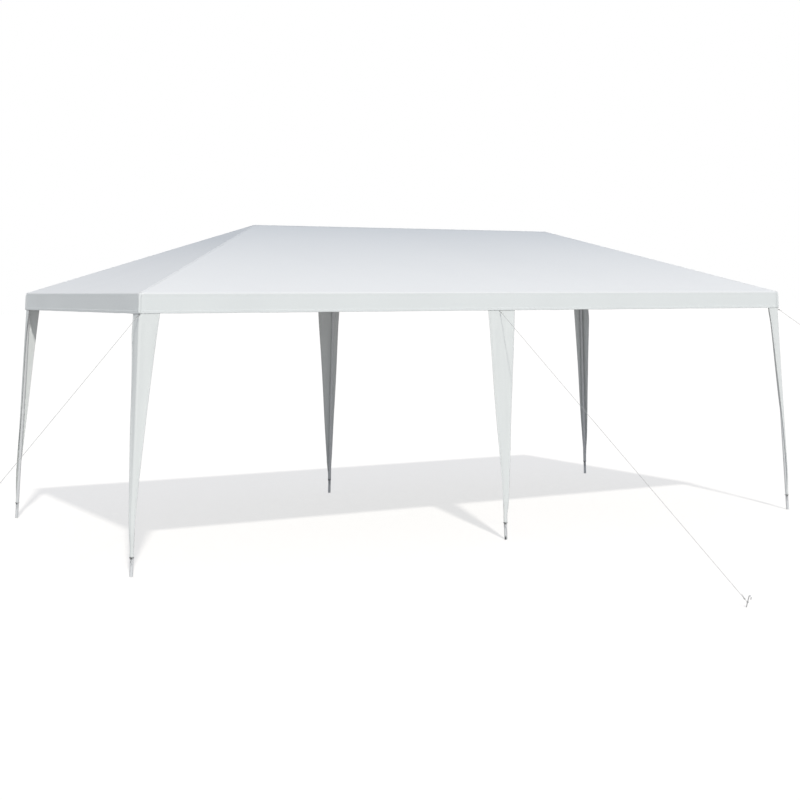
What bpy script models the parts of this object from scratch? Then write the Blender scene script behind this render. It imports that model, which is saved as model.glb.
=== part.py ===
"""Garden gazebo of the party-tent kind: a white hipped canopy on six splayed tube legs.

Metres, +Z up, +X along the ridge, -Y towards the front. The model is laid out about the
middle of the canopy and then set so that the front middle foot stands on the origin.
The frame is plug-together steel tube in moulded sockets. The canopy is cut in four roof
panels and four valances that meet in mitres at their seams. A tapered cloth drape hangs
down the outside of each leg, in two panels seamed at the fold on a corner leg, and three
guy ropes run from the front legs to pegs.
"""
import math

import bmesh
import bpy
import numpy as np
from mathutils import Vector

# Canopy, measured over the cloth
EAVE_LENGTH = 5.85
EAVE_WIDTH = 2.87
EAVE_HEIGHT = 1.93
RIDGE_LENGTH = 2.88
RIDGE_HEIGHT = 2.48
VALANCE_DROP = 0.14
VALANCE_FLARE = 0.010

# How far each foot stands outside the eave above it
CORNER_SPLAY_X = 0.11
CORNER_SPLAY_Y = 0.055
MIDDLE_SPLAY_Y = 0.10

# Tubes and the sockets that they plug into
TUBE_RADIUS = 0.0125
SLEEVE_RADIUS = 0.016
SOCKET_START = 0.034
SLEEVE_REACH = 0.095
HUB_RADIUS = 0.015
TUBE_SIDES = 16

# Cloth, and the gap that touching pieces keep
CLOTH = 0.003
GAP = 0.0003

# Faces that meet at more than this angle keep a sharp edge between them
SHARP_ANGLE = math.radians(40)

# A direction steeper than this takes its cross axes from +X, and two sleeves whose
# directions multiply to less than this run straight on through their joint
STEEP = 0.7
OPPOSITE = -0.9999
BALL_SUBDIVISIONS = 2

# Leg drapes: widths from the fold, or from edge to edge on the middle legs
DRAPE_TOP = 1.885
DRAPE_BOTTOM = 0.125
CORNER_DRAPE_LONG_SIDE = 0.145
CORNER_DRAPE_END_SIDE = 0.125
MIDDLE_DRAPE_WIDTH = 0.258
CORNER_DRAPE_TIP = 0.032
MIDDLE_DRAPE_TIP = 0.026
EYELET_RADIUS = 0.005
EYELET_REACH = 0.06

# Guy ropes and their pegs, the ropes' bearings counted from +X towards +Y
ROPE_RADIUS = 0.0016
ROPE_SIDES = 8
ROPE_HEIGHT = 1.787
ROPE_RUN = 2.95
LEFT_ROPE_BEARING = 219.5
MIDDLE_ROPE_BEARING = 268.4
RIGHT_ROPE_BEARING = 349.0
PEG_RADIUS = 0.003
PEG_LEAN = 18.0
PEG_HEIGHT = 0.075
PEG_HOOK_RADIUS = 0.010
PEG_TIE_HEIGHT = 0.035
LOOP_STEPS = 14
HOOK_STEPS = 6
LEG_LOOP_RADIUS = TUBE_RADIUS + GAP + ROPE_RADIUS
PEG_LOOP_RADIUS = PEG_RADIUS + GAP + ROPE_RADIUS

CORNERS = {
    "front_left": (-1, -1),
    "front_right": (1, -1),
    "back_left": (-1, 1),
    "back_right": (1, 1),
}
SIDES = {"front": -1, "back": 1}
ENDS = {"left": -1, "right": 1}

# Planes, each a unit normal and its distance from the layout's centre


def unit(vector):
    vector = np.asarray(vector, dtype=float)
    return vector / np.linalg.norm(vector)


def plane(normal, point):
    normal = unit(normal)
    return normal, float(normal @ np.asarray(point, dtype=float))


def lowered(face, depth):
    return face[0], face[1] - depth


def meet(*planes):
    normals = np.array([normal for normal, _ in planes])
    distances = np.array([distance for _, distance in planes])
    return np.linalg.solve(normals, distances)


def mitre(face, neighbour):
    """The plane that halves the corner between two faces, set back by half the gap."""
    normal = face[0] - neighbour[0]
    size = np.linalg.norm(normal)
    return normal / size, (face[1] - neighbour[1]) / size + GAP / 2


def roof_plane(side, end):
    """The outer face of a long slope (side) or of an end slope (end)."""
    rise = RIDGE_HEIGHT - EAVE_HEIGHT
    if side:
        return plane((0, side * rise, EAVE_WIDTH / 2), (0, side * EAVE_WIDTH / 2, EAVE_HEIGHT))
    run = (EAVE_LENGTH - RIDGE_LENGTH) / 2
    return plane((end * rise, 0, run), (end * EAVE_LENGTH / 2, 0, EAVE_HEIGHT))


def valance_plane(side, end):
    """The outer face of a valance, leaning out a little towards its hem."""
    edge = (end * EAVE_LENGTH / 2, side * EAVE_WIDTH / 2, EAVE_HEIGHT)
    return plane((end * VALANCE_DROP, side * VALANCE_DROP, VALANCE_FLARE), edge)


HEM = plane((0, 0, 1), (0, 0, EAVE_HEIGHT - VALANCE_DROP))

# The frame's centre lines lie inside the cloth by these depths
ROOF_DEPTH = CLOTH + GAP + SLEEVE_RADIUS
SIDE_DEPTH = 2 * (CLOTH + GAP) + SLEEVE_RADIUS


def eave_level():
    """The height at which the eave tubes clear the long slopes and the end slopes."""
    levels = []
    for side, end in ((-1, 0), (0, 1)):
        inside = plane((end, side, 0), (end * EAVE_LENGTH / 2, side * EAVE_WIDTH / 2, 0))
        across = plane((abs(side), abs(end), 0), (0, 0, 0))
        slope = lowered(roof_plane(side, end), ROOF_DEPTH)
        levels.append(meet(slope, lowered(inside, SIDE_DEPTH), across)[2])
    return min(levels)


EAVE_LEVEL = eave_level()
MIDDLE_PLANE = plane((0, 1, 0), (0, 0, 0))
CROSS_PLANE = plane((1, 0, 0), (0, 0, 0))
LONG_SLOPE_INSIDE = lowered(roof_plane(1, 0), ROOF_DEPTH)


def corner_node(end, side):
    return np.array([
        end * (EAVE_LENGTH / 2 - SIDE_DEPTH),
        side * (EAVE_WIDTH / 2 - SIDE_DEPTH),
        EAVE_LEVEL,
    ])


def side_node(side):
    return np.array([0.0, side * (EAVE_WIDTH / 2 - SIDE_DEPTH), EAVE_LEVEL])


def ridge_node(end):
    if end:
        return meet(LONG_SLOPE_INSIDE, lowered(roof_plane(0, end), ROOF_DEPTH), MIDDLE_PLANE)
    return meet(LONG_SLOPE_INSIDE, CROSS_PLANE, MIDDLE_PLANE)


def corner_foot(end, side):
    return np.array([
        end * (EAVE_LENGTH / 2 + CORNER_SPLAY_X),
        side * (EAVE_WIDTH / 2 + CORNER_SPLAY_Y),
        0.0,
    ])


def side_foot(side):
    return np.array([0.0, side * (EAVE_WIDTH / 2 + MIDDLE_SPLAY_Y), 0.0])


def at_height(top, foot, height):
    """The point of a leg's centre line at a height above the ground."""
    return foot + (top - foot) * (height - foot[2]) / (top[2] - foot[2])


# Scene and materials


def clear_scene():
    for thing in list(bpy.data.objects):
        bpy.data.objects.remove(thing, do_unlink=True)


def material(name, colour, roughness, metallic=0.0):
    made = bpy.data.materials.new(name)
    made.use_nodes = True
    shader = made.node_tree.nodes["Principled BSDF"]
    shader.inputs["Base Color"].default_value = (*colour, 1.0)
    shader.inputs["Roughness"].default_value = roughness
    shader.inputs["Metallic"].default_value = metallic
    return made


def place(name, mesh, finish, stand):
    """Puts a mesh in the scene as a named piece of the gazebo."""
    mesh.name = name
    mesh.materials.clear()
    mesh.materials.append(finish)
    thing = bpy.data.objects.new(name, mesh)
    bpy.context.scene.collection.objects.link(thing)
    thing.parent = stand


# Meshes


def solid_mesh(points, faces, smooth=False):
    """A closed mesh from points and faces, with its faces turned outwards."""
    work = bmesh.new()
    corners = [work.verts.new(Vector(point)) for point in points]
    for face in faces:
        work.faces.new([corners[index] for index in face])
    bmesh.ops.recalc_face_normals(work, faces=work.faces)
    mesh = bpy.data.meshes.new("solid")
    work.to_mesh(mesh)
    work.free()
    if smooth:
        mesh.shade_smooth()
        mesh.set_sharp_from_angle(angle=SHARP_ANGLE)
    return mesh


def lofted(rings, smooth=False):
    """A closed mesh through a row of rings that have the same number of points."""
    count = len(rings[0])
    points = [point for ring in rings for point in ring]
    faces = [list(range(count)), list(range(len(points) - count, len(points)))]
    for row in range(len(rings) - 1):
        for index in range(count):
            after = (index + 1) % count
            low = row * count
            high = low + count
            faces.append([low + index, low + after, high + after, high + index])
    return solid_mesh(points, faces, smooth)


def cross_axes(direction):
    """Two axes square to a direction, the same pair for a tube seen from either end."""
    reference = (1, 0, 0) if abs(direction[2]) > STEEP else (0, 0, 1)
    first = unit(np.cross(direction, reference))
    return first, np.cross(direction, first)


def ring(centre, direction, radius, sides):
    first, second = cross_axes(direction)
    turns = [2 * math.pi * step / sides for step in range(sides)]
    return [centre + radius * (math.cos(turn) * first + math.sin(turn) * second) for turn in turns]


def rod(start, end, radius, sides=TUBE_SIDES):
    direction = unit(end - start)
    return lofted([ring(start, direction, radius, sides), ring(end, direction, radius, sides)], True)


def plate(face, thickness, sides):
    """A flat panel under a face, bounded by side planes in order around it."""
    rings = []
    for level in (face, lowered(face, thickness)):
        rings.append([meet(level, sides[index - 1], sides[index]) for index in range(len(sides))])
    return lofted(rings)


def swept_rings(points, radius, sides):
    """The rings of a tube along a path that stays in one plane."""
    points = [np.asarray(point, dtype=float) for point in points]
    across = unit(np.cross(points[1] - points[0], points[-1] - points[0]))
    rings = []
    for index, point in enumerate(points):
        before = points[max(index - 1, 0)]
        after = points[min(index + 1, len(points) - 1)]
        upright = np.cross(unit(after - before), across)
        turns = [2 * math.pi * step / sides for step in range(sides)]
        rings.append([
            point + radius * (math.cos(turn) * across + math.sin(turn) * upright) for turn in turns
        ])
    return rings


def ring_tube(centre, axis, ring_radius, tube_radius):
    """A closed ring of round stock about an axis."""
    first, second = cross_axes(axis)
    points = []
    for step in range(LOOP_STEPS):
        turn = 2 * math.pi * step / LOOP_STEPS
        outward = math.cos(turn) * first + math.sin(turn) * second
        for side in range(ROPE_SIDES):
            angle = 2 * math.pi * side / ROPE_SIDES
            reach = ring_radius + tube_radius * math.cos(angle)
            points.append(centre + reach * outward + tube_radius * math.sin(angle) * axis)
    faces = []
    for step in range(LOOP_STEPS):
        ahead = (step + 1) % LOOP_STEPS
        for side in range(ROPE_SIDES):
            beside = (side + 1) % ROPE_SIDES
            faces.append([
                step * ROPE_SIDES + side,
                step * ROPE_SIDES + beside,
                ahead * ROPE_SIDES + beside,
                ahead * ROPE_SIDES + side,
            ])
    return solid_mesh(points, faces, True)


def ball(centre, radius):
    work = bmesh.new()
    bmesh.ops.create_icosphere(work, subdivisions=BALL_SUBDIVISIONS, radius=radius)
    bmesh.ops.translate(work, verts=work.verts, vec=Vector(centre))
    mesh = bpy.data.meshes.new("ball")
    work.to_mesh(mesh)
    work.free()
    return mesh


def combined(base, others, operation):
    """The first mesh joined with, or cut by, the others."""
    scene = bpy.context.scene
    body = bpy.data.objects.new("body", base)
    scene.collection.objects.link(body)
    tools = []
    for other in others:
        tool = bpy.data.objects.new("tool", other)
        scene.collection.objects.link(tool)
        tools.append(tool)
        step = body.modifiers.new("step", "BOOLEAN")
        step.operation = operation
        step.solver = "EXACT"
        step.object = tool
    seen = body.evaluated_get(bpy.context.evaluated_depsgraph_get())
    result = bpy.data.meshes.new_from_object(seen)
    for thing in (body, *tools):
        bpy.data.objects.remove(thing, do_unlink=True)
    result.shade_smooth()
    result.set_sharp_from_angle(angle=SHARP_ANGLE)
    return result


# The frame


def straight_on(way, others):
    """Whether another sleeve leaves the joint in the opposite direction."""
    return any(way @ other < OPPOSITE for other in others)


def socket_joint(name, centre, targets, finish, stand):
    """A moulded joint with one sleeve towards each target, each with a blind socket."""
    ways = [unit(target - centre) for target in targets]
    sleeves = []
    for index, way in enumerate(ways):
        if straight_on(way, ways[:index]):
            continue
        start = centre - SLEEVE_REACH * way if straight_on(way, ways) else centre
        sleeves.append(rod(start, centre + SLEEVE_REACH * way, SLEEVE_RADIUS))
    body = combined(sleeves[0], [*sleeves[1:], ball(centre, HUB_RADIUS)], "UNION")
    sockets = [
        rod(
            centre + SOCKET_START * way,
            centre + (SLEEVE_REACH + SLEEVE_RADIUS) * way,
            TUBE_RADIUS + GAP,
        )
        for way in ways
    ]
    place(name, combined(body, sockets, "DIFFERENCE"), finish, stand)


def tube_between(name, start, end, finish, stand):
    """A tube whose two ends sit at the bottom of their sockets."""
    direction = unit(end - start)
    inset = (SOCKET_START + GAP) * direction
    place(name, rod(start + inset, end - inset, TUBE_RADIUS), finish, stand)


def leg(name, top, foot, finish, stand):
    """A splayed leg, cut level where it stands on the ground."""
    direction = unit(top - foot)
    upper = ring(top - (SOCKET_START + GAP) * direction, direction, TUBE_RADIUS, TUBE_SIDES)
    lower = [
        point - direction * (point[2] / direction[2])
        for point in ring(foot, direction, TUBE_RADIUS, TUBE_SIDES)
    ]
    place(name, lofted([lower, upper], True), finish, stand)


def build_frame(paint, plastic, stand):
    for name, (end, side) in CORNERS.items():
        node = corner_node(end, side)
        targets = [side_node(side), corner_node(end, -side), ridge_node(end), corner_foot(end, side)]
        socket_joint("corner_joint_" + name, node, targets, plastic, stand)
        leg("leg_" + name, node, corner_foot(end, side), paint, stand)
        tube_between("eave_tube_" + name, node, side_node(side), paint, stand)
        tube_between("hip_rafter_" + name, node, ridge_node(end), paint, stand)
    for name, side in SIDES.items():
        node = side_node(side)
        targets = [corner_node(-1, side), corner_node(1, side), ridge_node(0), side_foot(side)]
        socket_joint("side_joint_" + name, node, targets, plastic, stand)
        leg("leg_" + name + "_middle", node, side_foot(side), paint, stand)
        tube_between("middle_rafter_" + name, node, ridge_node(0), paint, stand)
    for name, end in ENDS.items():
        node = ridge_node(end)
        targets = [corner_node(end, -1), corner_node(end, 1), ridge_node(0)]
        socket_joint("ridge_joint_" + name, node, targets, plastic, stand)
        tube_between("end_eave_tube_" + name, corner_node(end, -1), corner_node(end, 1), paint, stand)
        tube_between("ridge_tube_" + name, node, ridge_node(0), paint, stand)
    targets = [ridge_node(-1), ridge_node(1), side_node(-1), side_node(1)]
    socket_joint("ridge_joint_middle", ridge_node(0), targets, plastic, stand)


# The canopy


def build_canopy(cloth, stand):
    for name, side in SIDES.items():
        face = roof_plane(side, 0)
        edges = [
            mitre(face, valance_plane(side, 0)),
            mitre(face, roof_plane(0, 1)),
            mitre(face, roof_plane(-side, 0)),
            mitre(face, roof_plane(0, -1)),
        ]
        place("canopy_slope_" + name, plate(face, CLOTH, edges), cloth, stand)
        face = valance_plane(side, 0)
        edges = [
            mitre(face, roof_plane(side, 0)),
            mitre(face, valance_plane(0, 1)),
            HEM,
            mitre(face, valance_plane(0, -1)),
        ]
        place("valance_" + name, plate(face, CLOTH, edges), cloth, stand)
    for name, end in ENDS.items():
        face = roof_plane(0, end)
        edges = [
            mitre(face, valance_plane(0, end)),
            mitre(face, roof_plane(1, 0)),
            mitre(face, roof_plane(-1, 0)),
        ]
        place("canopy_end_" + name, plate(face, CLOTH, edges), cloth, stand)
        face = valance_plane(0, end)
        edges = [
            mitre(face, roof_plane(0, end)),
            mitre(face, valance_plane(1, 0)),
            HEM,
            mitre(face, valance_plane(-1, 0)),
        ]
        place("valance_" + name, plate(face, CLOTH, edges), cloth, stand)


# The leg drapes

DRAPE_INSIDE = SLEEVE_RADIUS + GAP
DRAPE_OUTSIDE = DRAPE_INSIDE + CLOTH
SEAM_SETBACK = GAP / math.sqrt(2)


def corner_panel_ring(centre, end, side, width, across):
    """A level cut through one panel of a corner drape, mitred at the seam beside the leg.

    The panel faces the tent's end where across is true, and its long side otherwise.
    """
    outline = [
        (DRAPE_OUTSIDE - SEAM_SETBACK, DRAPE_OUTSIDE),
        (DRAPE_OUTSIDE - width, DRAPE_OUTSIDE),
        (DRAPE_OUTSIDE - width, DRAPE_INSIDE),
        (DRAPE_INSIDE - SEAM_SETBACK, DRAPE_INSIDE),
    ]
    if across:
        outline = [(outward, along) for along, outward in outline]
    return [centre + np.array([end * x, side * y, 0.0]) for x, y in outline]


def middle_drape_ring(centre, side, width):
    outline = [
        (-width / 2, DRAPE_OUTSIDE),
        (width / 2, DRAPE_OUTSIDE),
        (width / 2, DRAPE_INSIDE),
        (-width / 2, DRAPE_INSIDE),
    ]
    return [centre + np.array([x, side * y, 0.0]) for x, y in outline]


def hang_drape(name, rings, cloth, rope, stand):
    """A drape panel, with an eyelet where a guy rope comes out through it."""
    mesh = lofted(rings)
    if rope:
        reach = rope.leg_knot + EYELET_REACH * rope.way
        eyelet = rod(rope.leg_knot, reach, EYELET_RADIUS, ROPE_SIDES)
        mesh = combined(mesh, [eyelet], "DIFFERENCE")
    place(name, mesh, cloth, stand)


def build_drapes(cloth, ropes, stand):
    for name, (end, side) in CORNERS.items():
        top = corner_node(end, side)
        foot = corner_foot(end, side)
        low = at_height(top, foot, DRAPE_BOTTOM)
        high = at_height(top, foot, DRAPE_TOP)
        for panel, width, across in (
            ("_long_side", CORNER_DRAPE_LONG_SIDE, False),
            ("_end_side", CORNER_DRAPE_END_SIDE, True),
        ):
            rings = [
                corner_panel_ring(low, end, side, CORNER_DRAPE_TIP, across),
                corner_panel_ring(high, end, side, width, across),
            ]
            hang_drape("leg_drape_" + name + panel, rings, cloth, ropes.get(name), stand)
    for name, side in SIDES.items():
        top = side_node(side)
        foot = side_foot(side)
        rings = [
            middle_drape_ring(at_height(top, foot, DRAPE_BOTTOM), side, MIDDLE_DRAPE_TIP),
            middle_drape_ring(at_height(top, foot, DRAPE_TOP), side, MIDDLE_DRAPE_WIDTH),
        ]
        rope = ropes.get(name + "_middle")
        hang_drape("leg_drape_" + name + "_middle", rings, cloth, rope, stand)


# The guy ropes and pegs


def square_to(axis, vector):
    """The unit part of a vector that is square to an axis."""
    return unit(vector - (vector @ axis) * axis)


class GuyRope:
    """The line of a guy rope, from the loop round its leg to the loop round its peg."""

    def __init__(self, top, foot, degrees):
        outward = np.array([math.cos(math.radians(degrees)), math.sin(math.radians(degrees)), 0.0])
        self.leg_axis = unit(top - foot)
        self.leg_centre = at_height(top, foot, ROPE_HEIGHT)
        ground = self.leg_centre + ROPE_RUN * outward
        ground[2] = 0.0
        fall = unit(ground - self.leg_centre)

        lean = math.radians(PEG_LEAN)
        self.shank = math.sin(lean) * outward + math.cos(lean) * np.array([0.0, 0.0, 1.0])
        self.peg_centre = self.leg_centre + fall * (PEG_TIE_HEIGHT - ROPE_HEIGHT) / fall[2]
        self.peg_base = self.peg_centre - self.shank * (PEG_TIE_HEIGHT / self.shank[2])
        self.peg_outward = square_to(self.shank, outward)

        self.leg_knot = self.leg_centre + LEG_LOOP_RADIUS * square_to(self.leg_axis, outward)
        self.peg_knot = self.peg_centre - PEG_LOOP_RADIUS * self.peg_outward
        self.way = unit(self.peg_knot - self.leg_knot)


def guy_rope(name, rope, finish, stand):
    """A taut rope tied round its leg and round the shank of its peg."""
    line = rod(rope.leg_knot, rope.peg_knot, ROPE_RADIUS, ROPE_SIDES)
    leg_loop = ring_tube(rope.leg_centre, rope.leg_axis, LEG_LOOP_RADIUS, ROPE_RADIUS)
    peg_loop = ring_tube(rope.peg_centre, rope.shank, PEG_LOOP_RADIUS, ROPE_RADIUS)
    place(name, combined(line, [leg_loop, peg_loop], "UNION"), finish, stand)


def peg(name, rope, finish, stand):
    """A wire peg that leans away from the tent, hooked over at its top."""
    shoulder = rope.peg_base + PEG_HEIGHT * rope.shank
    bend = shoulder + PEG_HOOK_RADIUS * rope.peg_outward
    path = [rope.peg_base]
    for step in range(HOOK_STEPS + 1):
        turn = math.pi * step / HOOK_STEPS
        swing = math.sin(turn) * rope.shank - math.cos(turn) * rope.peg_outward
        path.append(bend + PEG_HOOK_RADIUS * swing)
    path.append(path[-1] - PEG_HOOK_RADIUS * rope.shank)
    rings = swept_rings(path, PEG_RADIUS, ROPE_SIDES)
    rings[0] = [point - rope.shank * (point[2] / rope.shank[2]) for point in rings[0]]
    place(name, lofted(rings, True), finish, stand)


def main():
    clear_scene()
    cloth = material("white_cloth", (0.82, 0.83, 0.83), 0.55)
    paint = material("light_grey_paint", (0.72, 0.74, 0.75), 0.35, 0.2)
    plastic = material("grey_plastic", (0.62, 0.63, 0.64), 0.5)
    rope_finish = material("white_rope", (0.80, 0.80, 0.78), 0.8)
    peg_finish = material("zinc_wire", (0.60, 0.61, 0.62), 0.35, 1.0)

    stand = bpy.data.objects.new("gazebo", None)
    bpy.context.scene.collection.objects.link(stand)
    stand.location = Vector(-side_foot(-1))

    ropes = {
        "front_left": GuyRope(corner_node(-1, -1), corner_foot(-1, -1), LEFT_ROPE_BEARING),
        "front_middle": GuyRope(side_node(-1), side_foot(-1), MIDDLE_ROPE_BEARING),
        "front_right": GuyRope(corner_node(1, -1), corner_foot(1, -1), RIGHT_ROPE_BEARING),
    }
    build_frame(paint, plastic, stand)
    build_canopy(cloth, stand)
    build_drapes(cloth, ropes, stand)
    for name, rope in ropes.items():
        guy_rope("guy_rope_" + name, rope, rope_finish, stand)
        peg("peg_" + name, rope, peg_finish, stand)


main()
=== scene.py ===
"""Looks of the garden gazebo: its cloth, seams, tubes, ropes and the plain studio round it.

Laid out as a Blender add-on and run as a script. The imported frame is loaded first, and the
sizes that it knows are read from it. Metres, +Z up, the long front side towards -Y.
"""
import math

import bmesh
import bpy
import numpy as np
from bpy.props import FloatProperty, FloatVectorProperty, IntProperty, PointerProperty
from mathutils import Matrix, Vector, noise


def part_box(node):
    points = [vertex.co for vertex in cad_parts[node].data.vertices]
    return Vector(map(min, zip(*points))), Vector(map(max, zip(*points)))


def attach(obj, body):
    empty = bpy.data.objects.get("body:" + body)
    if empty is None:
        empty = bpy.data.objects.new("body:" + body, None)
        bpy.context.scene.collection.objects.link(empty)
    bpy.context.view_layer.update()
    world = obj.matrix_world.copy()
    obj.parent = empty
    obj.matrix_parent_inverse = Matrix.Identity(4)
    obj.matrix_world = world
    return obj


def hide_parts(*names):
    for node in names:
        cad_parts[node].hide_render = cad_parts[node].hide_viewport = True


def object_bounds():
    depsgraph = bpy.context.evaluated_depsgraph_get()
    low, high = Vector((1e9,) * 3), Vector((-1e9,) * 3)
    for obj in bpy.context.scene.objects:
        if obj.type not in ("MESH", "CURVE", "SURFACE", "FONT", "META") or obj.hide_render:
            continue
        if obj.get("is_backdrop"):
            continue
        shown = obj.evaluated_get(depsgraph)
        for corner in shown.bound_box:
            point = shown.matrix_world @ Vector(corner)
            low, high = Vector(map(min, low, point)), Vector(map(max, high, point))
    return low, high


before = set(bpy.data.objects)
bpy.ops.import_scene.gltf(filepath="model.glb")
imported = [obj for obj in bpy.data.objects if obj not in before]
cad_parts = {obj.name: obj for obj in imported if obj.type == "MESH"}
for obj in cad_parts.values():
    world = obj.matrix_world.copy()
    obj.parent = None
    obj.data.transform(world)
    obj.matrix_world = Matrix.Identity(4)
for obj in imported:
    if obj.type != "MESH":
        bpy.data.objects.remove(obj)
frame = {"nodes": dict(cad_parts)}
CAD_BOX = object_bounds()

bl_info = {
    "name": "Garden Gazebo",
    "version": (1, 0, 0),
    "blender": (4, 5, 0),
    "location": "View3D > Sidebar > Gazebo",
    "description": "Dresses the gazebo's frame in cloth, rope and paint",
    "category": "Add Mesh",
}

BODY = "root"
FLAT_MAP = "cloth"

CORNERS = {
    "front_left": (-1, -1),
    "front_right": (1, -1),
    "back_left": (-1, 1),
    "back_right": (1, 1),
}
MIDDLES = {"front_middle": (0, -1), "back_middle": (0, 1)}
LEGS = {**CORNERS, **MIDDLES}
ROPED_LEGS = ("front_left", "front_middle", "front_right")

# The canopy's sizes, read from the roof panels and valances of the frame
SLOPE_LOW, SLOPE_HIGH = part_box("canopy_slope_front")
END_LOW, END_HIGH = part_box("canopy_end_left")
VALANCE_LOW, VALANCE_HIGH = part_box("valance_front")
CENTRE_Y = (END_LOW.y + END_HIGH.y) / 2
HALF_LENGTH = SLOPE_HIGH.x
HALF_WIDTH = (END_HIGH.y - END_LOW.y) / 2
RIDGE_HALF = -END_HIGH.x
RIDGE_HEIGHT = SLOPE_HIGH.z
EAVE_HEIGHT = VALANCE_HIGH.z
DROP = VALANCE_HIGH.z - VALANCE_LOW.z
FLARE = CENTRE_Y - HALF_WIDTH - VALANCE_LOW.y
RISE = RIDGE_HEIGHT - EAVE_HEIGHT
LONG_PITCH = math.atan2(RISE, HALF_WIDTH)
END_PITCH = math.atan2(RISE, HALF_LENGTH - RIDGE_HALF)
LONG_SLOPE = math.hypot(RISE, HALF_WIDTH)
END_SLOPE = math.hypot(RISE, HALF_LENGTH - RIDGE_HALF)

CANOPY_NODES = (
    "canopy_slope_front", "canopy_slope_back", "canopy_end_left", "canopy_end_right",
    "valance_front", "valance_back", "valance_left", "valance_right",
)

# Where the drapes' sheets run, as distances from their legs' centre lines
TUBE_RADIUS = 0.0125
SLEEVE_RADIUS = 0.016
DRAPE_OFFSET = 0.0178
FOLD_RADIUS = 0.012
FOLD_ARC = FOLD_RADIUS * math.pi / 2
DRAPE_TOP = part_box("leg_drape_front_middle")[1].z
DRAPE_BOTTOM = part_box("leg_drape_front_middle")[0].z
DRAPE_KNEE = 0.28
DRAPE_TIP = 0.024

# How wide each drape hangs on the two sides of its fold, and how hollow its edges are cut
# as (long side, end side, hollow of the long edge, hollow of the end edge)
CORNER_CUTS = {
    "front_left": (0.160, 0.137, 1.30, 1.35),
    "front_right": (0.118, 0.130, 2.2, 1.0),
    "back_left": (0.122, 0.092, 1.0, 1.0),
    "back_right": (0.104, 0.130, 1.0, 1.0),
}
# On the middle legs, as (left of the leg, right of the leg)
MIDDLE_CUTS = {"front_middle": (0.112, 0.146), "back_middle": (0.163, 0.076)}


# Small helpers


def unit(vector):
    vector = np.asarray(vector, dtype=float)
    return vector / np.linalg.norm(vector)


def blend(low, high, share):
    return low + (high - low) * share


def travelled(points):
    """How far along a line each of its points lies."""
    return np.concatenate([[0], np.cumsum(np.linalg.norm(np.diff(points, axis=0), axis=1))])


def eased(low, high, value):
    """0 at low, 1 at high, with a smooth start and end."""
    share = min(max((value - low) / (high - low), 0.0), 1.0)
    return share * share * (3 - 2 * share)


def ripple(x, y=0.0, z=0.0):
    """Smooth noise between -1 and 1, the same at every run."""
    return noise.noise(Vector((x, y, z)))


def cross_axes(way):
    """Two directions at right angles to a direction and to each other."""
    reference = (1, 0, 0) if abs(way[2]) > 0.7 else (0, 0, 1)
    first = unit(np.cross(way, reference))
    return first, np.cross(way, first)


# Shader expressions


class Field:
    """A value, colour or vector that a node gives, with sums written as Python sums."""

    def __init__(self, finish, socket):
        self.finish = finish
        self.socket = socket

    def other(self, name):
        """Another output of the same node."""
        return Field(self.finish, self.socket.node.outputs[name])

    def math(self, operation, *values):
        inputs = dict(enumerate(values))
        return self.finish.node("ShaderNodeMath", {"operation": operation}, inputs)

    def __add__(self, value):
        return self.math("ADD", self, value)

    def __radd__(self, value):
        return self.math("ADD", value, self)

    def __sub__(self, value):
        return self.math("SUBTRACT", self, value)

    def __rsub__(self, value):
        return self.math("SUBTRACT", value, self)

    def __mul__(self, value):
        return self.math("MULTIPLY", self, value)

    def __rmul__(self, value):
        return self.math("MULTIPLY", value, self)

    def __gt__(self, value):
        return self.math("GREATER_THAN", self, value)

    def __abs__(self):
        return self.math("ABSOLUTE", self)

    def sine(self):
        return self.math("SINE", self)

    def share(self, low, high):
        """0 where this value is low, 1 where it is high, and held outside."""
        ends = {"Value": self, "From Min": low, "From Max": high}
        return self.finish.node("ShaderNodeMapRange", {"clamp": True}, ends)


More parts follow.
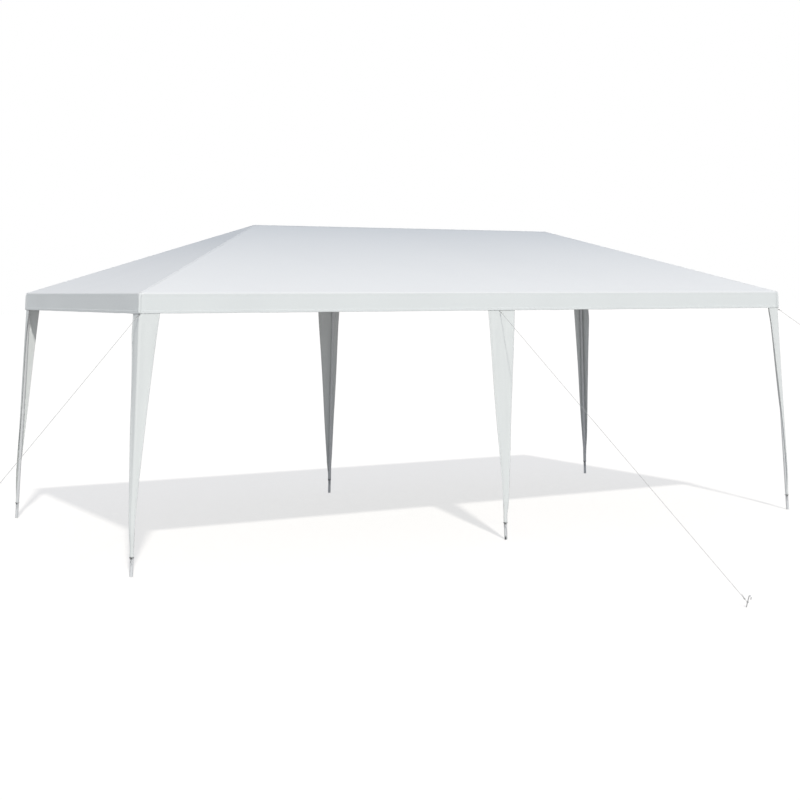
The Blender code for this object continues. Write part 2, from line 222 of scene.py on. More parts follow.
class Finish:
    """A material, or the sky, while its nodes are put together."""

    def __init__(self, owner, shader="Principled BSDF"):
        owner.use_nodes = True
        self.owner = owner
        self.tree = owner.node_tree
        self.shader = self.tree.nodes[shader]

    def node(self, kind, settings=None, inputs=None, output=0):
        """Adds a node: its settings are set first, then its sockets are set or linked."""
        made = self.tree.nodes.new(kind)
        for name, value in (settings or {}).items():
            setattr(made, name, value)
        for name, value in (inputs or {}).items():
            self.put(made.inputs[name], value)
        return Field(self, made.outputs[output])

    def put(self, socket, value):
        if isinstance(value, Field):
            self.tree.links.new(value.socket, socket)
        else:
            socket.default_value = value

    def surface(self, **values):
        """Sets or links the shader's sockets, named with underscores for spaces."""
        for name, value in values.items():
            self.put(self.shader.inputs[name.replace("_", " ")], value)
        return self.owner

    def places(self):
        """Points of the piece in metres, for patterns that aren't tied to the cloth's cut."""
        return self.node("ShaderNodeTexCoord", output="Object")

    def stretched(self, x, y, z):
        """The same points, scaled along each axis."""
        values = {0: self.places(), 1: (x, y, z)}
        return self.node("ShaderNodeVectorMath", {"operation": "MULTIPLY"}, values)

    def flat(self):
        """The two coordinates of the cut cloth, in metres."""
        spot = self.node("ShaderNodeUVMap", {"uv_map": FLAT_MAP})
        across = self.node("ShaderNodeSeparateXYZ", inputs={0: spot})
        return across, across.other("Y")

    def clouds(self, vector, scale, detail=3.0):
        """Soft irregular patches, from 0 to 1."""
        inputs = {"Vector": vector, "Scale": scale, "Detail": detail}
        return self.node("ShaderNodeTexNoise", {"noise_dimensions": "3D"}, inputs)

    def tint(self, first, second, share):
        """A colour between two others."""
        made = self.node("ShaderNodeMix", {"data_type": "RGBA"}, {"Factor": share}).socket.node
        sockets = [socket for socket in made.inputs if socket.type == "RGBA"]
        for socket, value in zip(sockets, (first, second)):
            self.put(socket, value)
        return Field(self, next(socket for socket in made.outputs if socket.type == "RGBA"))

    def relief(self, height, distance, strength, under=None):
        """A bump of that height in metres, over the bump of another relief."""
        inputs = {"Height": height, "Distance": distance, "Strength": strength}
        if under:
            inputs["Normal"] = under
        return self.node("ShaderNodeBump", inputs=inputs)


def new_finish(name):
    """A new material, ready for its nodes."""
    return Finish(bpy.data.materials.new(name))


def colour(values):
    return (*values, 1.0)


def darker(values, share):
    return (*(value * share for value in values), 1.0)


# How far below the eave the roof's tint has turned into the valance's
TINT_EDGE = 0.012


def woven_tapes(finish, pitch):
    """The relief of flat tapes woven over and under each other."""
    across, along = finish.flat()
    warp = (across * (math.pi / pitch)).sine()
    weft = (along * (math.pi / pitch)).sine()
    over = warp * weft > 0.0
    return abs(warp) * over + abs(weft) * (1.0 - over)


def woven_sheet(finish, hem_tint, eave_tint, ridge_tint, pitch, creases):
    """White woven sheet with a satin coat, and painted shade: greyer and bluer towards the ridge, and
    more so on the end slopes.
    """
    spot = finish.places()
    height = finish.node("ShaderNodeSeparateXYZ", inputs={0: spot}).other("Z")
    facing = finish.node("ShaderNodeNewGeometry", output="Normal")
    sideways = abs(finish.node("ShaderNodeSeparateXYZ", inputs={0: facing}).other("X"))
    on_end = sideways.share(0.12, 0.30)
    up = height.share(EAVE_HEIGHT, RIDGE_HEIGHT)
    above_eave = height.share(EAVE_HEIGHT - TINT_EDGE, EAVE_HEIGHT)
    aged = finish.clouds(spot, 1.7)
    dust = finish.clouds(spot, 9.0, 5.0)
    # Painted shade: how far the cloth turns to the ridge's grey, growing up the roof and stronger on
    # the end slopes
    painted_shade = up * (0.58 + 0.42 * up) + on_end * up * (0.10 + 0.34 * up * up)
    base = finish.tint(colour(hem_tint), colour(eave_tint), above_eave)
    base = finish.tint(base, colour(ridge_tint), painted_shade)
    base = finish.tint(base, darker(ridge_tint, 0.97), aged.share(0.45, 0.75) * 0.06)
    base = finish.tint(base, darker(eave_tint, 0.90), dust.share(0.62, 0.80) * 0.16)
    creased = finish.clouds(finish.stretched(1.0, 1.0, 0.5), creases, 4.0)
    soft = finish.relief(creased, 0.004, 0.35)
    weave = woven_tapes(finish, pitch)
    return finish.surface(
        Base_Color=base,
        Roughness=0.50 + 0.12 * aged + 0.06 * dust,
        Specular_IOR_Level=0.35,
        Sheen_Weight=0.06,
        Normal=finish.relief(weave, 0.00012, 0.5, soft),
    )


def roof_weave(settings):
    finish = new_finish("roof_weave")
    tints = (settings.canopy.hem_tint, settings.canopy.eave_tint, settings.canopy.ridge_tint)
    return woven_sheet(finish, *tints, settings.canopy.tape_pitch, 2.2)


def drape_weave(settings):
    finish = new_finish("drape_weave")
    tint = settings.drapes.tint
    return woven_sheet(finish, tint, tint, tint, settings.canopy.tape_pitch, 7.0)


def sewing_thread(settings):
    """Twisted thread, a little greyer than the cloth."""
    finish = new_finish("sewing_thread")
    strands = finish.clouds(finish.places(), 900.0, 2.0)
    tint = settings.canopy.thread_tint
    return finish.surface(
        Base_Color=finish.tint(colour(tint), darker(tint, 0.86), strands),
        Roughness=0.7,
        Normal=finish.relief(strands, 0.0001, 0.6),
    )


def powder_coat(settings):
    """Light grey powder coat: fine orange peel, rubbed spots that are smoother and greyer."""
    finish = new_finish("powder_coat")
    spot = finish.places()
    peel = finish.clouds(spot, 420.0, 2.0)
    rubbed = finish.clouds(spot, 14.0, 5.0).share(0.58, 0.78)
    tint = settings.frame.paint_tint
    return finish.surface(
        Base_Color=finish.tint(colour(tint), darker(tint, 0.84), rubbed * 0.5),
        Roughness=0.36 - 0.10 * rubbed + 0.05 * peel,
        Coat_Weight=0.15,
        Normal=finish.relief(peel, 0.00015, 0.35),
    )


def moulded_plastic(settings):
    """Moulded plastic with a fine grain and faint flow marks."""
    finish = new_finish("moulded_plastic")
    spot = finish.places()
    grain = finish.clouds(spot, 700.0, 2.0)
    flow = finish.clouds(finish.stretched(3.0, 3.0, 12.0), 6.0, 3.0)
    tint = settings.frame.plastic_tint
    return finish.surface(
        Base_Color=finish.tint(colour(tint), darker(tint, 0.88), flow.share(0.4, 0.7)),
        Roughness=0.48 + 0.10 * grain,
        Normal=finish.relief(grain, 0.0002, 0.4),
    )


def zinc_plate(settings):
    """Zinc-plated wire, brighter where it is worn, with drawing marks along it."""
    finish = new_finish("zinc_plate")
    drawn = finish.clouds(finish.stretched(600.0, 600.0, 25.0), 1.0, 2.0)
    worn = finish.clouds(finish.places(), 60.0, 4.0).share(0.4, 0.7)
    tint = settings.frame.zinc_tint
    return finish.surface(
        Base_Color=finish.tint(darker(tint, 0.80), colour(tint), worn),
        Metallic=0.75,
        Roughness=0.30 + 0.16 * drawn,
        Normal=finish.relief(drawn, 0.0001, 0.4),
    )


def twisted_fibre(settings):
    """White rope: fine fibres along the strands, slightly soiled in places."""
    finish = new_finish("twisted_fibre")
    across, along = finish.flat()
    fibre = (across * 9000.0 + along * 2500.0).sine()
    soil = finish.clouds(finish.places(), 5.0, 4.0).share(0.45, 0.75)
    tint = settings.ropes.rope_tint
    return finish.surface(
        Base_Color=finish.tint(colour(tint), darker(tint, 0.84), soil * 0.7),
        Roughness=0.78,
        Normal=finish.relief(fibre, 0.00006, 0.5),
    )


def dark_lace(settings):
    """Flat-braided dark lace of the drapes' ties."""
    finish = new_finish("dark_lace")
    across, along = finish.flat()
    leaning, level = along * 1500.0, across * 2600.0
    braid = (level + leaning).sine() * (level - leaning).sine()
    tint = settings.drapes.lace_tint
    return finish.surface(
        Base_Color=finish.tint(colour(tint), darker(tint, 2.2), braid.share(0.2, 1.0)),
        Roughness=0.75,
        Normal=finish.relief(braid, 0.0002, 0.7),
    )


def finished(maker, settings):
    """The material that a maker puts together, made once."""
    return bpy.data.materials.get(maker.__name__) or maker(settings)


# Meshes

# The share of a stitch's pitch that shows as thread
STITCH_SHARE = 0.62


class Pile:
    """Points and faces gathered for one piece, with the flat place of each face corner."""

    def __init__(self):
        self.points = []
        self.faces = []
        self.flats = []

    def face(self, corners, flats):
        self.faces.append(corners)
        self.flats.extend(flats)

    def rows(self, rows, round_about=False, capped=False):
        """Skins a list of equally long rows of points, closed round if asked, with end faces."""
        rows = np.asarray(rows, dtype=float)
        start = len(self.points)
        count = rows.shape[1]
        self.points.extend(map(tuple, rows.reshape(-1, 3)))
        loop = np.concatenate([rows[0], rows[0][:1]]) if round_about else rows[0]
        across = travelled(loop)
        along = travelled(rows[:, 0])
        for row in range(len(rows) - 1):
            for column in range(count if round_about else count - 1):
                after = (column + 1) % count
                low = start + row * count
                corners = (low + column, low + after, low + count + after, low + count + column)
                left, right = across[column], across[column + 1]
                near, far = along[row], along[row + 1]
                self.face(corners, [(left, near), (right, near), (right, far), (left, far)])
        if capped:
            last = start + (len(rows) - 1) * count
            self.face(tuple(range(start + count - 1, start - 1, -1)), [(0, 0)] * count)
            self.face(tuple(range(last, last + count)), [(0, 0)] * count)

    def turned(self, centre, way, profile, sides, closed=False):
        """A profile of (distance along, radius) turned about an axis; closed joins its ends."""
        first, second = cross_axes(way)
        turns = [2 * math.pi * step / sides for step in range(sides)]
        spokes = [math.cos(turn) * first + math.sin(turn) * second for turn in turns]
        stops = [*profile, profile[0]] if closed else profile
        rows = [[centre + along * way + radius * spoke for spoke in spokes] for along, radius in stops]
        self.rows(rows, True, not closed)

    def along(self, path, radius, sides, lobes=0, lay=0.0, depth=0.0):
        """A tube along a path; lobes wind round it once in each lay, as strands do."""
        path = np.asarray(path, dtype=float)
        ways = np.gradient(path, axis=0)
        ways /= np.linalg.norm(ways, axis=1)[:, None]
        first, _ = cross_axes(ways[0])
        rows = []
        for point, way, travel in zip(path, ways, travelled(path)):
            first = unit(first - (first @ way) * way)
            second = np.cross(way, first)
            ring = []
            for side in range(sides):
                turn = 2 * math.pi * side / sides
                reach = radius
                if lobes:
                    wave = math.cos(lobes * (turn - 2 * math.pi * travel / lay))
                    reach = radius - depth * (1 - abs(wave))
                ring.append(point + reach * (math.cos(turn) * first + math.sin(turn) * second))
            rows.append(ring)
        self.rows(rows, True, True)

    def stitch(self, start, end, radius):
        """One short stitch of thread, thick in the middle and pointed where it goes in."""
        start, end = np.asarray(start), np.asarray(end)
        middle = (start + end) / 2
        first, second = cross_axes(unit(end - start))
        base = len(self.points)
        self.points.extend(map(tuple, (start, end)))
        for across in (first, second, -first, -second):
            self.points.append(tuple(middle + radius * across))
        for side in range(4):
            here, after = base + 2 + side, base + 2 + (side + 1) % 4
            self.face((base, after, here), [(0, 0)] * 3)
            self.face((base + 1, here, after), [(0, 0)] * 3)

    def sew(self, canopy, path):
        """Stitches at an even pitch along a path of points, as the canopy's settings say."""
        path = np.asarray(path, dtype=float)
        gone = travelled(path)
        pitch = canopy.stitch_pitch
        length = STITCH_SHARE * pitch
        for start in np.arange(pitch / 2, gone[-1] - length, pitch):
            ends = [
                [np.interp(at, gone, path[:, axis]) for axis in range(3)]
                for at in (start, start + length)
            ]
            self.stitch(*ends, canopy.stitch_radius)

    def piece(self, name, finish, slot=None, thickness=0.0, merge=0.0, sharp=None):
        """Makes the gathered faces one piece that rides on the gazebo."""
        mesh = bpy.data.meshes.new(name)
        mesh.from_pydata(self.points, [], self.faces)
        layer = mesh.uv_layers.new(name=FLAT_MAP)
        layer.data.foreach_set("uv", np.asarray(self.flats, dtype=np.float32).ravel())
        work = bmesh.new()
        work.from_mesh(mesh)
        if merge:
            bmesh.ops.remove_doubles(work, verts=work.verts, dist=merge)
        bmesh.ops.recalc_face_normals(work, faces=work.faces)
        work.to_mesh(mesh)
        work.free()
        mesh.shade_smooth()
        if sharp:
            mesh.set_sharp_from_angle(angle=math.radians(sharp))
        mesh.materials.append(finish)
        made = bpy.data.objects.new(name, mesh)
        bpy.context.scene.collection.objects.link(made)
        if thickness:
            thicken(made, thickness)
        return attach(made, BODY)


def thicken(piece, thickness):
    """Gives a sheet its thickness on its faces' inner side, or on both for a negative one."""
    layer = piece.modifiers.new("thickness", "SOLIDIFY")
    layer.thickness = abs(thickness)
    layer.offset = -1.0 if thickness > 0 else 0.0
    layer.use_even_offset = True
    layer.use_quality_normals = True


def settle(piece):
    """Replaces a piece's mesh by what its modifiers make of it."""
    seen = piece.evaluated_get(bpy.context.evaluated_depsgraph_get())
    mesh = bpy.data.meshes.new_from_object(seen)
    piece.modifiers.clear()
    piece.data = mesh


# Places read from the frame

# Points this close to the furthest one belong to a tube's end
END_DEPTH = 0.004


def node_points(name):
    """The points of a node's mesh, each once."""
    points = [vertex.co for vertex in frame["nodes"][name].data.vertices]
    return np.unique(np.array(points, dtype=float).round(6), axis=0)


def tube_line(name):
    """The middles of the two ends of a tube node, the lower or the left or front one first."""
    points = node_points(name)
    middle = points.mean(axis=0)
    axis = np.linalg.svd(points - middle, full_matrices=False)[2][0]
    gone = (points - middle) @ axis
    ends = [
        points[gone < gone.min() + END_DEPTH].mean(axis=0),
        points[gone > gone.max() - END_DEPTH].mean(axis=0),
    ]
    return sorted(ends, key=lambda end: (round(end[2], 2), round(end[0], 2), end[1]))


LEG_LINES = {name: tube_line("leg_" + name) for name in LEGS}


def leg_point(name, height):
    """The point of a leg's centre line at a height."""
    foot, top = LEG_LINES[name]
    return foot + (top - foot) * height / top[2]


# The canopy's form

# Corners of a square round which the sheet's columns run
SQUARE = ((-1, -1), (1, -1), (1, 1), (-1, 1))
# How many folds fan out from each corner of the roof, and how far they reach
CORNER_FANS = 5
FAN_REACH = 0.42
# How far from a corner, and from a middle leg, the hem begins to swing and swings in full
CORNER_HOLD = (0.0, 0.22)
MIDDLE_HOLD = (0.10, 0.35)
# The valance's flare as a share of the frame's: hanging free, over a corner leg, over a middle leg
FREE_FLARE = 0.35
CORNER_FLARE = 0.76
MIDDLE_FLARE = 0.74
# How far from a corner, and from a middle leg, the leg pushes the valance out in full, and not at all
CORNER_PUSH = (0.05, 0.40)
MIDDLE_PUSH = (0.12, 0.50)
# How far above and below them the stitches under the eave draw the cloth in
PINCH_REACH = 0.009
# The hem's waves: the power with which they grow downwards, their turn in radians for each
# metre, and how much noise shifts them
HEM_GROWTH = 1.4
HEM_TURN = 9.5
HEM_SHIFT = 2.2
# Steps of the rounded edge at the eave
EAVE_STEPS = 4
# The power by which the roof's rows lie closer together near the ridge
ROW_SPREAD = 1.15


def canopy_columns(canopy):
    """Steps round the border of a square from -1 to 1, as (a, b, side) from the front left corner."""
    steps = []
    for side, start in enumerate(SQUARE):
        end = SQUARE[(side + 1) % len(SQUARE)]
        count = canopy.long_columns if side % 2 == 0 else canopy.end_columns
        for step in range(count):
            share = step / count
            steps.append((blend(start[0], end[0], share), blend(start[1], end[1], share), side))
    return steps


def sag(settings, a, b, v):
    """How far the roof cloth sinks between the rafters, the ridge and the eave."""
    on_end = abs(a) == 1 and abs(b) < 1
    across = math.sin(math.pi * (b + 1) / 2) if on_end else math.sin(math.pi * abs(a))
    bay = max(across, 0.0) ** 1.25 * math.sin(math.pi * min(v, 1.0))
    narrowing = (1 - v) ** 0.6 if on_end else 1.0
    sway = ripple(a * 3.1 + 5, b * 2.3, v * 2.5) * settings.canopy.sway
    return bay * narrowing * (settings.canopy.sag + sway)


def corner_pull(settings, x, y, v, on_end):
    """Small folds that run out from the corners of the stretched roof."""
    along = HALF_WIDTH - abs(y) if on_end else HALF_LENGTH - abs(x)
    up = v * (END_SLOPE if on_end else LONG_SLOPE)
    rise, run = (END_SLOPE, HALF_WIDTH) if on_end else (LONG_SLOPE, HALF_LENGTH - RIDGE_HALF)
    hip = math.atan2(rise, run)
    reach = math.hypot(along, up)
    if reach < 1e-6:
        return 0.0
    share = min(math.atan2(up, max(along, 0.0)) / hip, 1.0)
    folds = math.sin(CORNER_FANS * math.pi * share + 2 * ripple(reach * 2, share * 3))
    depth = settings.canopy.corner_folds * math.exp(-reach / FAN_REACH)
    return depth * folds * math.sin(math.pi * share)


def hem_wave(settings, a, b, d):
    """How far the valance swings out between its corners, more towards the hem."""
    hang = (d / DROP) ** HEM_GROWTH
    on_end = abs(a) == 1
    # The ends, the front and the back each have their own part of the noise
    gone = (b * HALF_WIDTH + 20.0) if on_end else (a * HALF_LENGTH + 40.0 * (b > 0))
    corner = HALF_WIDTH * (1 - abs(b)) if on_end else HALF_LENGTH * (1 - abs(a))
    held = eased(*CORNER_HOLD, corner)
    if not on_end:
        held *= eased(*MIDDLE_HOLD, HALF_LENGTH * abs(a))
    swing = 0.5 + 0.5 * math.sin(gone * HEM_TURN + HEM_SHIFT * ripple(gone * 0.9, 3.0))
    strength = 0.55 + 0.45 * ripple(gone * 0.7, 8.0)
    return settings.canopy.hem_wave * hang * held * swing * strength


def roof_point(settings, a, b, v, proud=0.0, inward=0.0):
    """A point on the outer face of the roof: v is 0 at the eave and 1 at the ridge.

    (a, b) is on the border of a square; inward moves it in from the hip, along the eave.
    """
    x = a * blend(HALF_LENGTH, RIDGE_HALF, v)
    y = b * HALF_WIDTH * (1 - v)
    on_end = abs(a) == 1 and abs(b) < 1
    if inward > 0:
        x -= math.copysign(inward, a)
    elif inward < 0:
        y -= math.copysign(min(-inward, abs(y)), b)
        on_end = True
    normal = roof_normal(a, b, on_end, inward)
    drop = 0.0
    if not inward:
        drop = sag(settings, a, b, v) + corner_pull(settings, x, y, v, on_end)
    point = np.array([x, CENTRE_Y + y, blend(EAVE_HEIGHT, RIDGE_HEIGHT, v) - drop])
    return point + proud * normal


def roof_normal(a, b, on_end, inward):
    """The outward direction of the roof's slope, halfway between two of them on a hip."""
    long_way = np.array([0.0, math.copysign(math.sin(LONG_PITCH), b), math.cos(LONG_PITCH)])
    end_way = np.array([math.copysign(math.sin(END_PITCH), a), 0.0, math.cos(END_PITCH)])
    if abs(a) == 1 and abs(b) == 1 and not inward:
        return unit(long_way + end_way)
    return end_way if on_end else long_way


def valance_point(settings, a, b, d, proud=0.0):
    """A point on the outer face of the valance, d below the eave.

    The valance falls almost straight, and the splayed legs push it out where it covers them.
    """
    plain = hem_wave(settings, a, b, d) + proud - pinch(settings, d)
    on_corner = 1 - eased(*CORNER_PUSH, HALF_WIDTH * (1 - abs(b)))
    on_middle = 1 - eased(*MIDDLE_PUSH, HALF_LENGTH * abs(a))
    x_flare = FLARE * blend(FREE_FLARE, CORNER_FLARE, on_corner)
    y_flare = FLARE * blend(FREE_FLARE, MIDDLE_FLARE, on_middle)
    x_out = x_flare * d / DROP + plain if abs(a) == 1 else 0.0
    y_out = y_flare * d / DROP + plain if abs(b) == 1 else 0.0
    corner = abs(a) == 1 and abs(b) == 1
    lift = 0.0 if corner else settings.canopy.hem_lift * ripple(a * 13.0, b * 7.0) * (d / DROP) ** 2
    return np.array([
        a * HALF_LENGTH + math.copysign(x_out, a),
        CENTRE_Y + b * HALF_WIDTH + math.copysign(y_out, b),
        EAVE_HEIGHT - d + lift,
    ])


def around(settings, d, proud=0.0):
    """Points of the valance all round the canopy, d below the eave."""
    return [valance_point(settings, a, b, d, proud) for a, b, _ in canopy_columns(settings.canopy)]


def pinch(settings, d):
    """The valance is drawn in a little at the row of stitches under the eave."""
    away = (d - settings.canopy.eave_seam) / PINCH_REACH
    return settings.canopy.eave_pinch * math.exp(-(away ** 2))


def canopy_rows(settings):
    """The rows of the sheet from the ridge down over the eave to the hem."""
    canopy = settings.canopy
    columns = canopy_columns(canopy)
    shares = [step / canopy.roof_rows for step in range(canopy.roof_rows)]
    roof_levels = [1 - share ** ROW_SPREAD for share in shares]
    turn_up = canopy.eave_turn / LONG_SLOPE
    levels = [level for level in roof_levels if level > 3 * turn_up] + [2 * turn_up]
    rows = [[roof_point(settings, a, b, level) for a, b, _ in columns] for level in levels]
    for step in range(EAVE_STEPS + 1):
        share = step / EAVE_STEPS
        rows.append([eave_point(settings, a, b, turn_up, share) for a, b, _ in columns])
    # Rows close together where the stitches draw the cloth in, and even ones below
    seam = canopy.eave_seam
    plain = seam * 2.2
    hangs = [blend(canopy.eave_turn, seam, 0.5), seam, seam * 1.5, plain]
    hangs += [blend(plain, DROP, step / canopy.hem_rows) for step in range(1, canopy.hem_rows + 1)]
    rows += [around(settings, d) for d in hangs]
    return columns, rows


def eave_point(settings, a, b, turn_up, share):
    """The rounded edge between the roof and the valance, from the roof's side at share 0."""
    roof = roof_point(settings, a, b, turn_up)
    edge = roof_point(settings, a, b, 0.0)
    hang = valance_point(settings, a, b, settings.canopy.eave_turn)
    return (1 - share) ** 2 * roof + 2 * share * (1 - share) * edge + share ** 2 * hang


def sheet_of_rows(columns, rows):
    """Skins the canopy's rows, each side laid flat by itself as its panel was cut."""
    pile = Pile()
    count = len(columns)
    for row in rows:
        pile.points.extend(map(tuple, row))
    # Lengths down the sheet are taken at a column of the front side
    gone = [0.0]
    for above, below in zip(rows, rows[1:]):
        gone.append(gone[-1] + float(np.linalg.norm(below[count // 8] - above[count // 8])))
    for row in range(len(rows) - 1):
        for column, (_, _, side) in enumerate(columns):
            after = (column + 1) % count
            corners = [(row, column), (row + 1, column), (row + 1, after), (row, after)]
            axis = 0 if side % 2 == 0 else 1
            flats = [(rows[r][c][axis], gone[r]) for r, c in corners]
            pile.face(tuple(r * count + c for r, c in corners), flats)
    return pile


# The drapes' form

# Heights between which the cloth leaves the tube, and between which its folds grow
WRAP_ENDS = (0.30, 0.15)
FOLDS_GROW = (0.16, 0.42)
# Depths below the drape's head between which the folds fade
FOLDS_FADE = (0.10, 0.26)
# Distances across the cloth from its middle line between which the folds set in
FOLDS_START = (0.010, 0.060)
# Their turn in radians for each metre across the cloth, and how much noise shifts them
FOLD_TURN = 52.0
FOLD_SHIFT = 1.7
# What a corner drape's cut loses on each side of its fold
FOLD_LOSS = 0.004
# A side hem takes at most this share of the cloth on its side
WIDEST_HEM = 0.42
# How far the creases round a rope's eyelet reach, how many they are, and the depths below the
# drape's head between which they start
GATHER_REACH = 0.045
GATHER_CREASES = 6
GATHER_START = (0.095, 0.14)


class Drape:
    """One leg's drape: where its cloth runs at each height, and how wide it is there."""

    def __init__(self, name, settings):
        self.name = name
        self.end, self.side = LEGS[name]
        self.settings = settings.drapes
        self.corner = bool(self.end)
        self.seed = 7.0 * list(LEGS).index(name)

    def reaches(self, height):
        """The cloth's reach on both sides of its middle line, as arc lengths."""
        share = min(max((height - DRAPE_KNEE) / (DRAPE_TOP - DRAPE_KNEE), 0.0), 1.0)
        if self.corner:
            long_side, end_side, long_hollow, end_hollow = CORNER_CUTS[self.name]
            first = blend(DRAPE_TIP, long_side, share ** long_hollow)
            second = blend(DRAPE_TIP, end_side, share ** end_hollow)
            return first - FOLD_LOSS, second - FOLD_LOSS
        left, right = MIDDLE_CUTS[self.name]
        return blend(DRAPE_TIP, left, share), blend(DRAPE_TIP, right, share)

    def down_edges(self, margin, section):
        """Rows down both edges of points at (share of the hem's width, distance off the cloth)."""
        heights = np.linspace(DRAPE_BOTTOM + margin, DRAPE_TOP - margin, self.settings.rows + 1)
        for side in (-1, 1):
            rows = []
            for height in heights:
                reach = self.reaches(height)[0 if side < 0 else 1]
                hem = min(self.settings.hem_width, WIDEST_HEM * reach)
                spots = [(side * (reach - share * hem), proud) for share, proud in section]
                rows.append([self.point(gone, height, proud) for gone, proud in spots])
            yield rows

    def level_cut(self, gone):
        """The sheet's level cut beside the leg, as (point, normal) in the leg's own axes."""
        offset = DRAPE_OFFSET
        if not self.corner:
            return np.array([gone, offset]), np.array([0.0, 1.0])
        inner = offset - FOLD_RADIUS
        if gone <= -FOLD_ARC / 2:
            return np.array([inner + FOLD_ARC / 2 + gone, offset]), np.array([0.0, 1.0])
        if gone >= FOLD_ARC / 2:
            return np.array([offset, inner + FOLD_ARC / 2 - gone]), np.array([1.0, 0.0])
        turn = math.pi / 4 - gone / FOLD_RADIUS
        way = np.array([math.cos(turn), math.sin(turn)])
        return inner + FOLD_RADIUS * way, way

    def wrapped(self, gone):
        """The cut where the sheet lies round the tube."""
        radius = TUBE_RADIUS + self.settings.wrap_clearance
        middle = math.pi / 4 if self.corner else math.pi / 2
        turn = middle - gone / radius
        way = np.array([math.cos(turn), math.sin(turn)])
        return radius * way, way

    def folds(self, gone, reach, height):
        """How far the cloth stands off its plain form, outwards."""
        share = abs(gone) / max(reach, 0.001)
        fade, grown = (DRAPE_TOP - depth for depth in FOLDS_FADE)
        free = eased(fade, grown, height) * eased(*FOLDS_GROW, height)
        away = eased(*FOLDS_START, abs(gone))
        shift = FOLD_SHIFT * ripple(height * 1.6, self.seed)
        pulls = math.sin(gone * FOLD_TURN + shift + self.seed)
        pulls += 0.8 * ripple(gone * 26.0, height * 1.9, self.seed + 3.0)
        curl = self.settings.edge_curl * share ** 3 * ripple(height * 1.3, self.seed + 9.0)
        slack = self.settings.slack * share * ripple(height * 0.9, self.seed + 5.0)
        if self.corner and gone > 0:
            slack += self.settings.swing * share
        soft = away * self.settings.fold_depth * pulls
        return free * (soft + curl + slack) + self.gather(gone, height)

    def gather(self, gone, height):
        """Small creases round the place where a guy rope pulls the cloth."""
        if self.name not in ROPED_LEGS:
            return 0.0
        knot = self.settings.rope_height
        reach = math.hypot(gone, height - knot)
        turn = math.atan2(height - knot, gone)
        start, full = (DRAPE_TOP - depth for depth in GATHER_START)
        depth = eased(start, full, height) * self.settings.gather_depth
        return depth * math.exp(-reach / GATHER_REACH) * (1 + math.sin(GATHER_CREASES * turn))

    def point(self, gone, height, proud=0.0):
        """A point of the sheet, gone along the cloth from its middle line at a height."""
        first, second = self.reaches(height)
        reach = first if gone < 0 else second
        plain, way = self.level_cut(gone)
        round_it, round_way = self.wrapped(gone)
        share = eased(*WRAP_ENDS, height)
        place = blend(plain, round_it, share)
        way = unit(blend(way, round_way, share))
        place = place + way * (self.folds(gone, reach, height) + proud)
        flip = self.end if self.corner else 1
        return leg_point(self.name, height) + np.array([flip * place[0], self.side * place[1], 0.0])

    def area(self):
        """The flat area of the cloth."""
        heights = np.linspace(DRAPE_BOTTOM, DRAPE_TOP, 60)
        mean = sum(sum(self.reaches(height)) for height in heights) / len(heights)
        return mean * (DRAPE_TOP - DRAPE_BOTTOM)

    def flat_size(self):
        """The width at the head and the length along the leg."""
        foot, top = LEG_LINES[self.name]
        length = (DRAPE_TOP - DRAPE_BOTTOM) * float(np.linalg.norm(top - foot)) / top[2]
        return sum(self.reaches(DRAPE_TOP)), length


# Settings


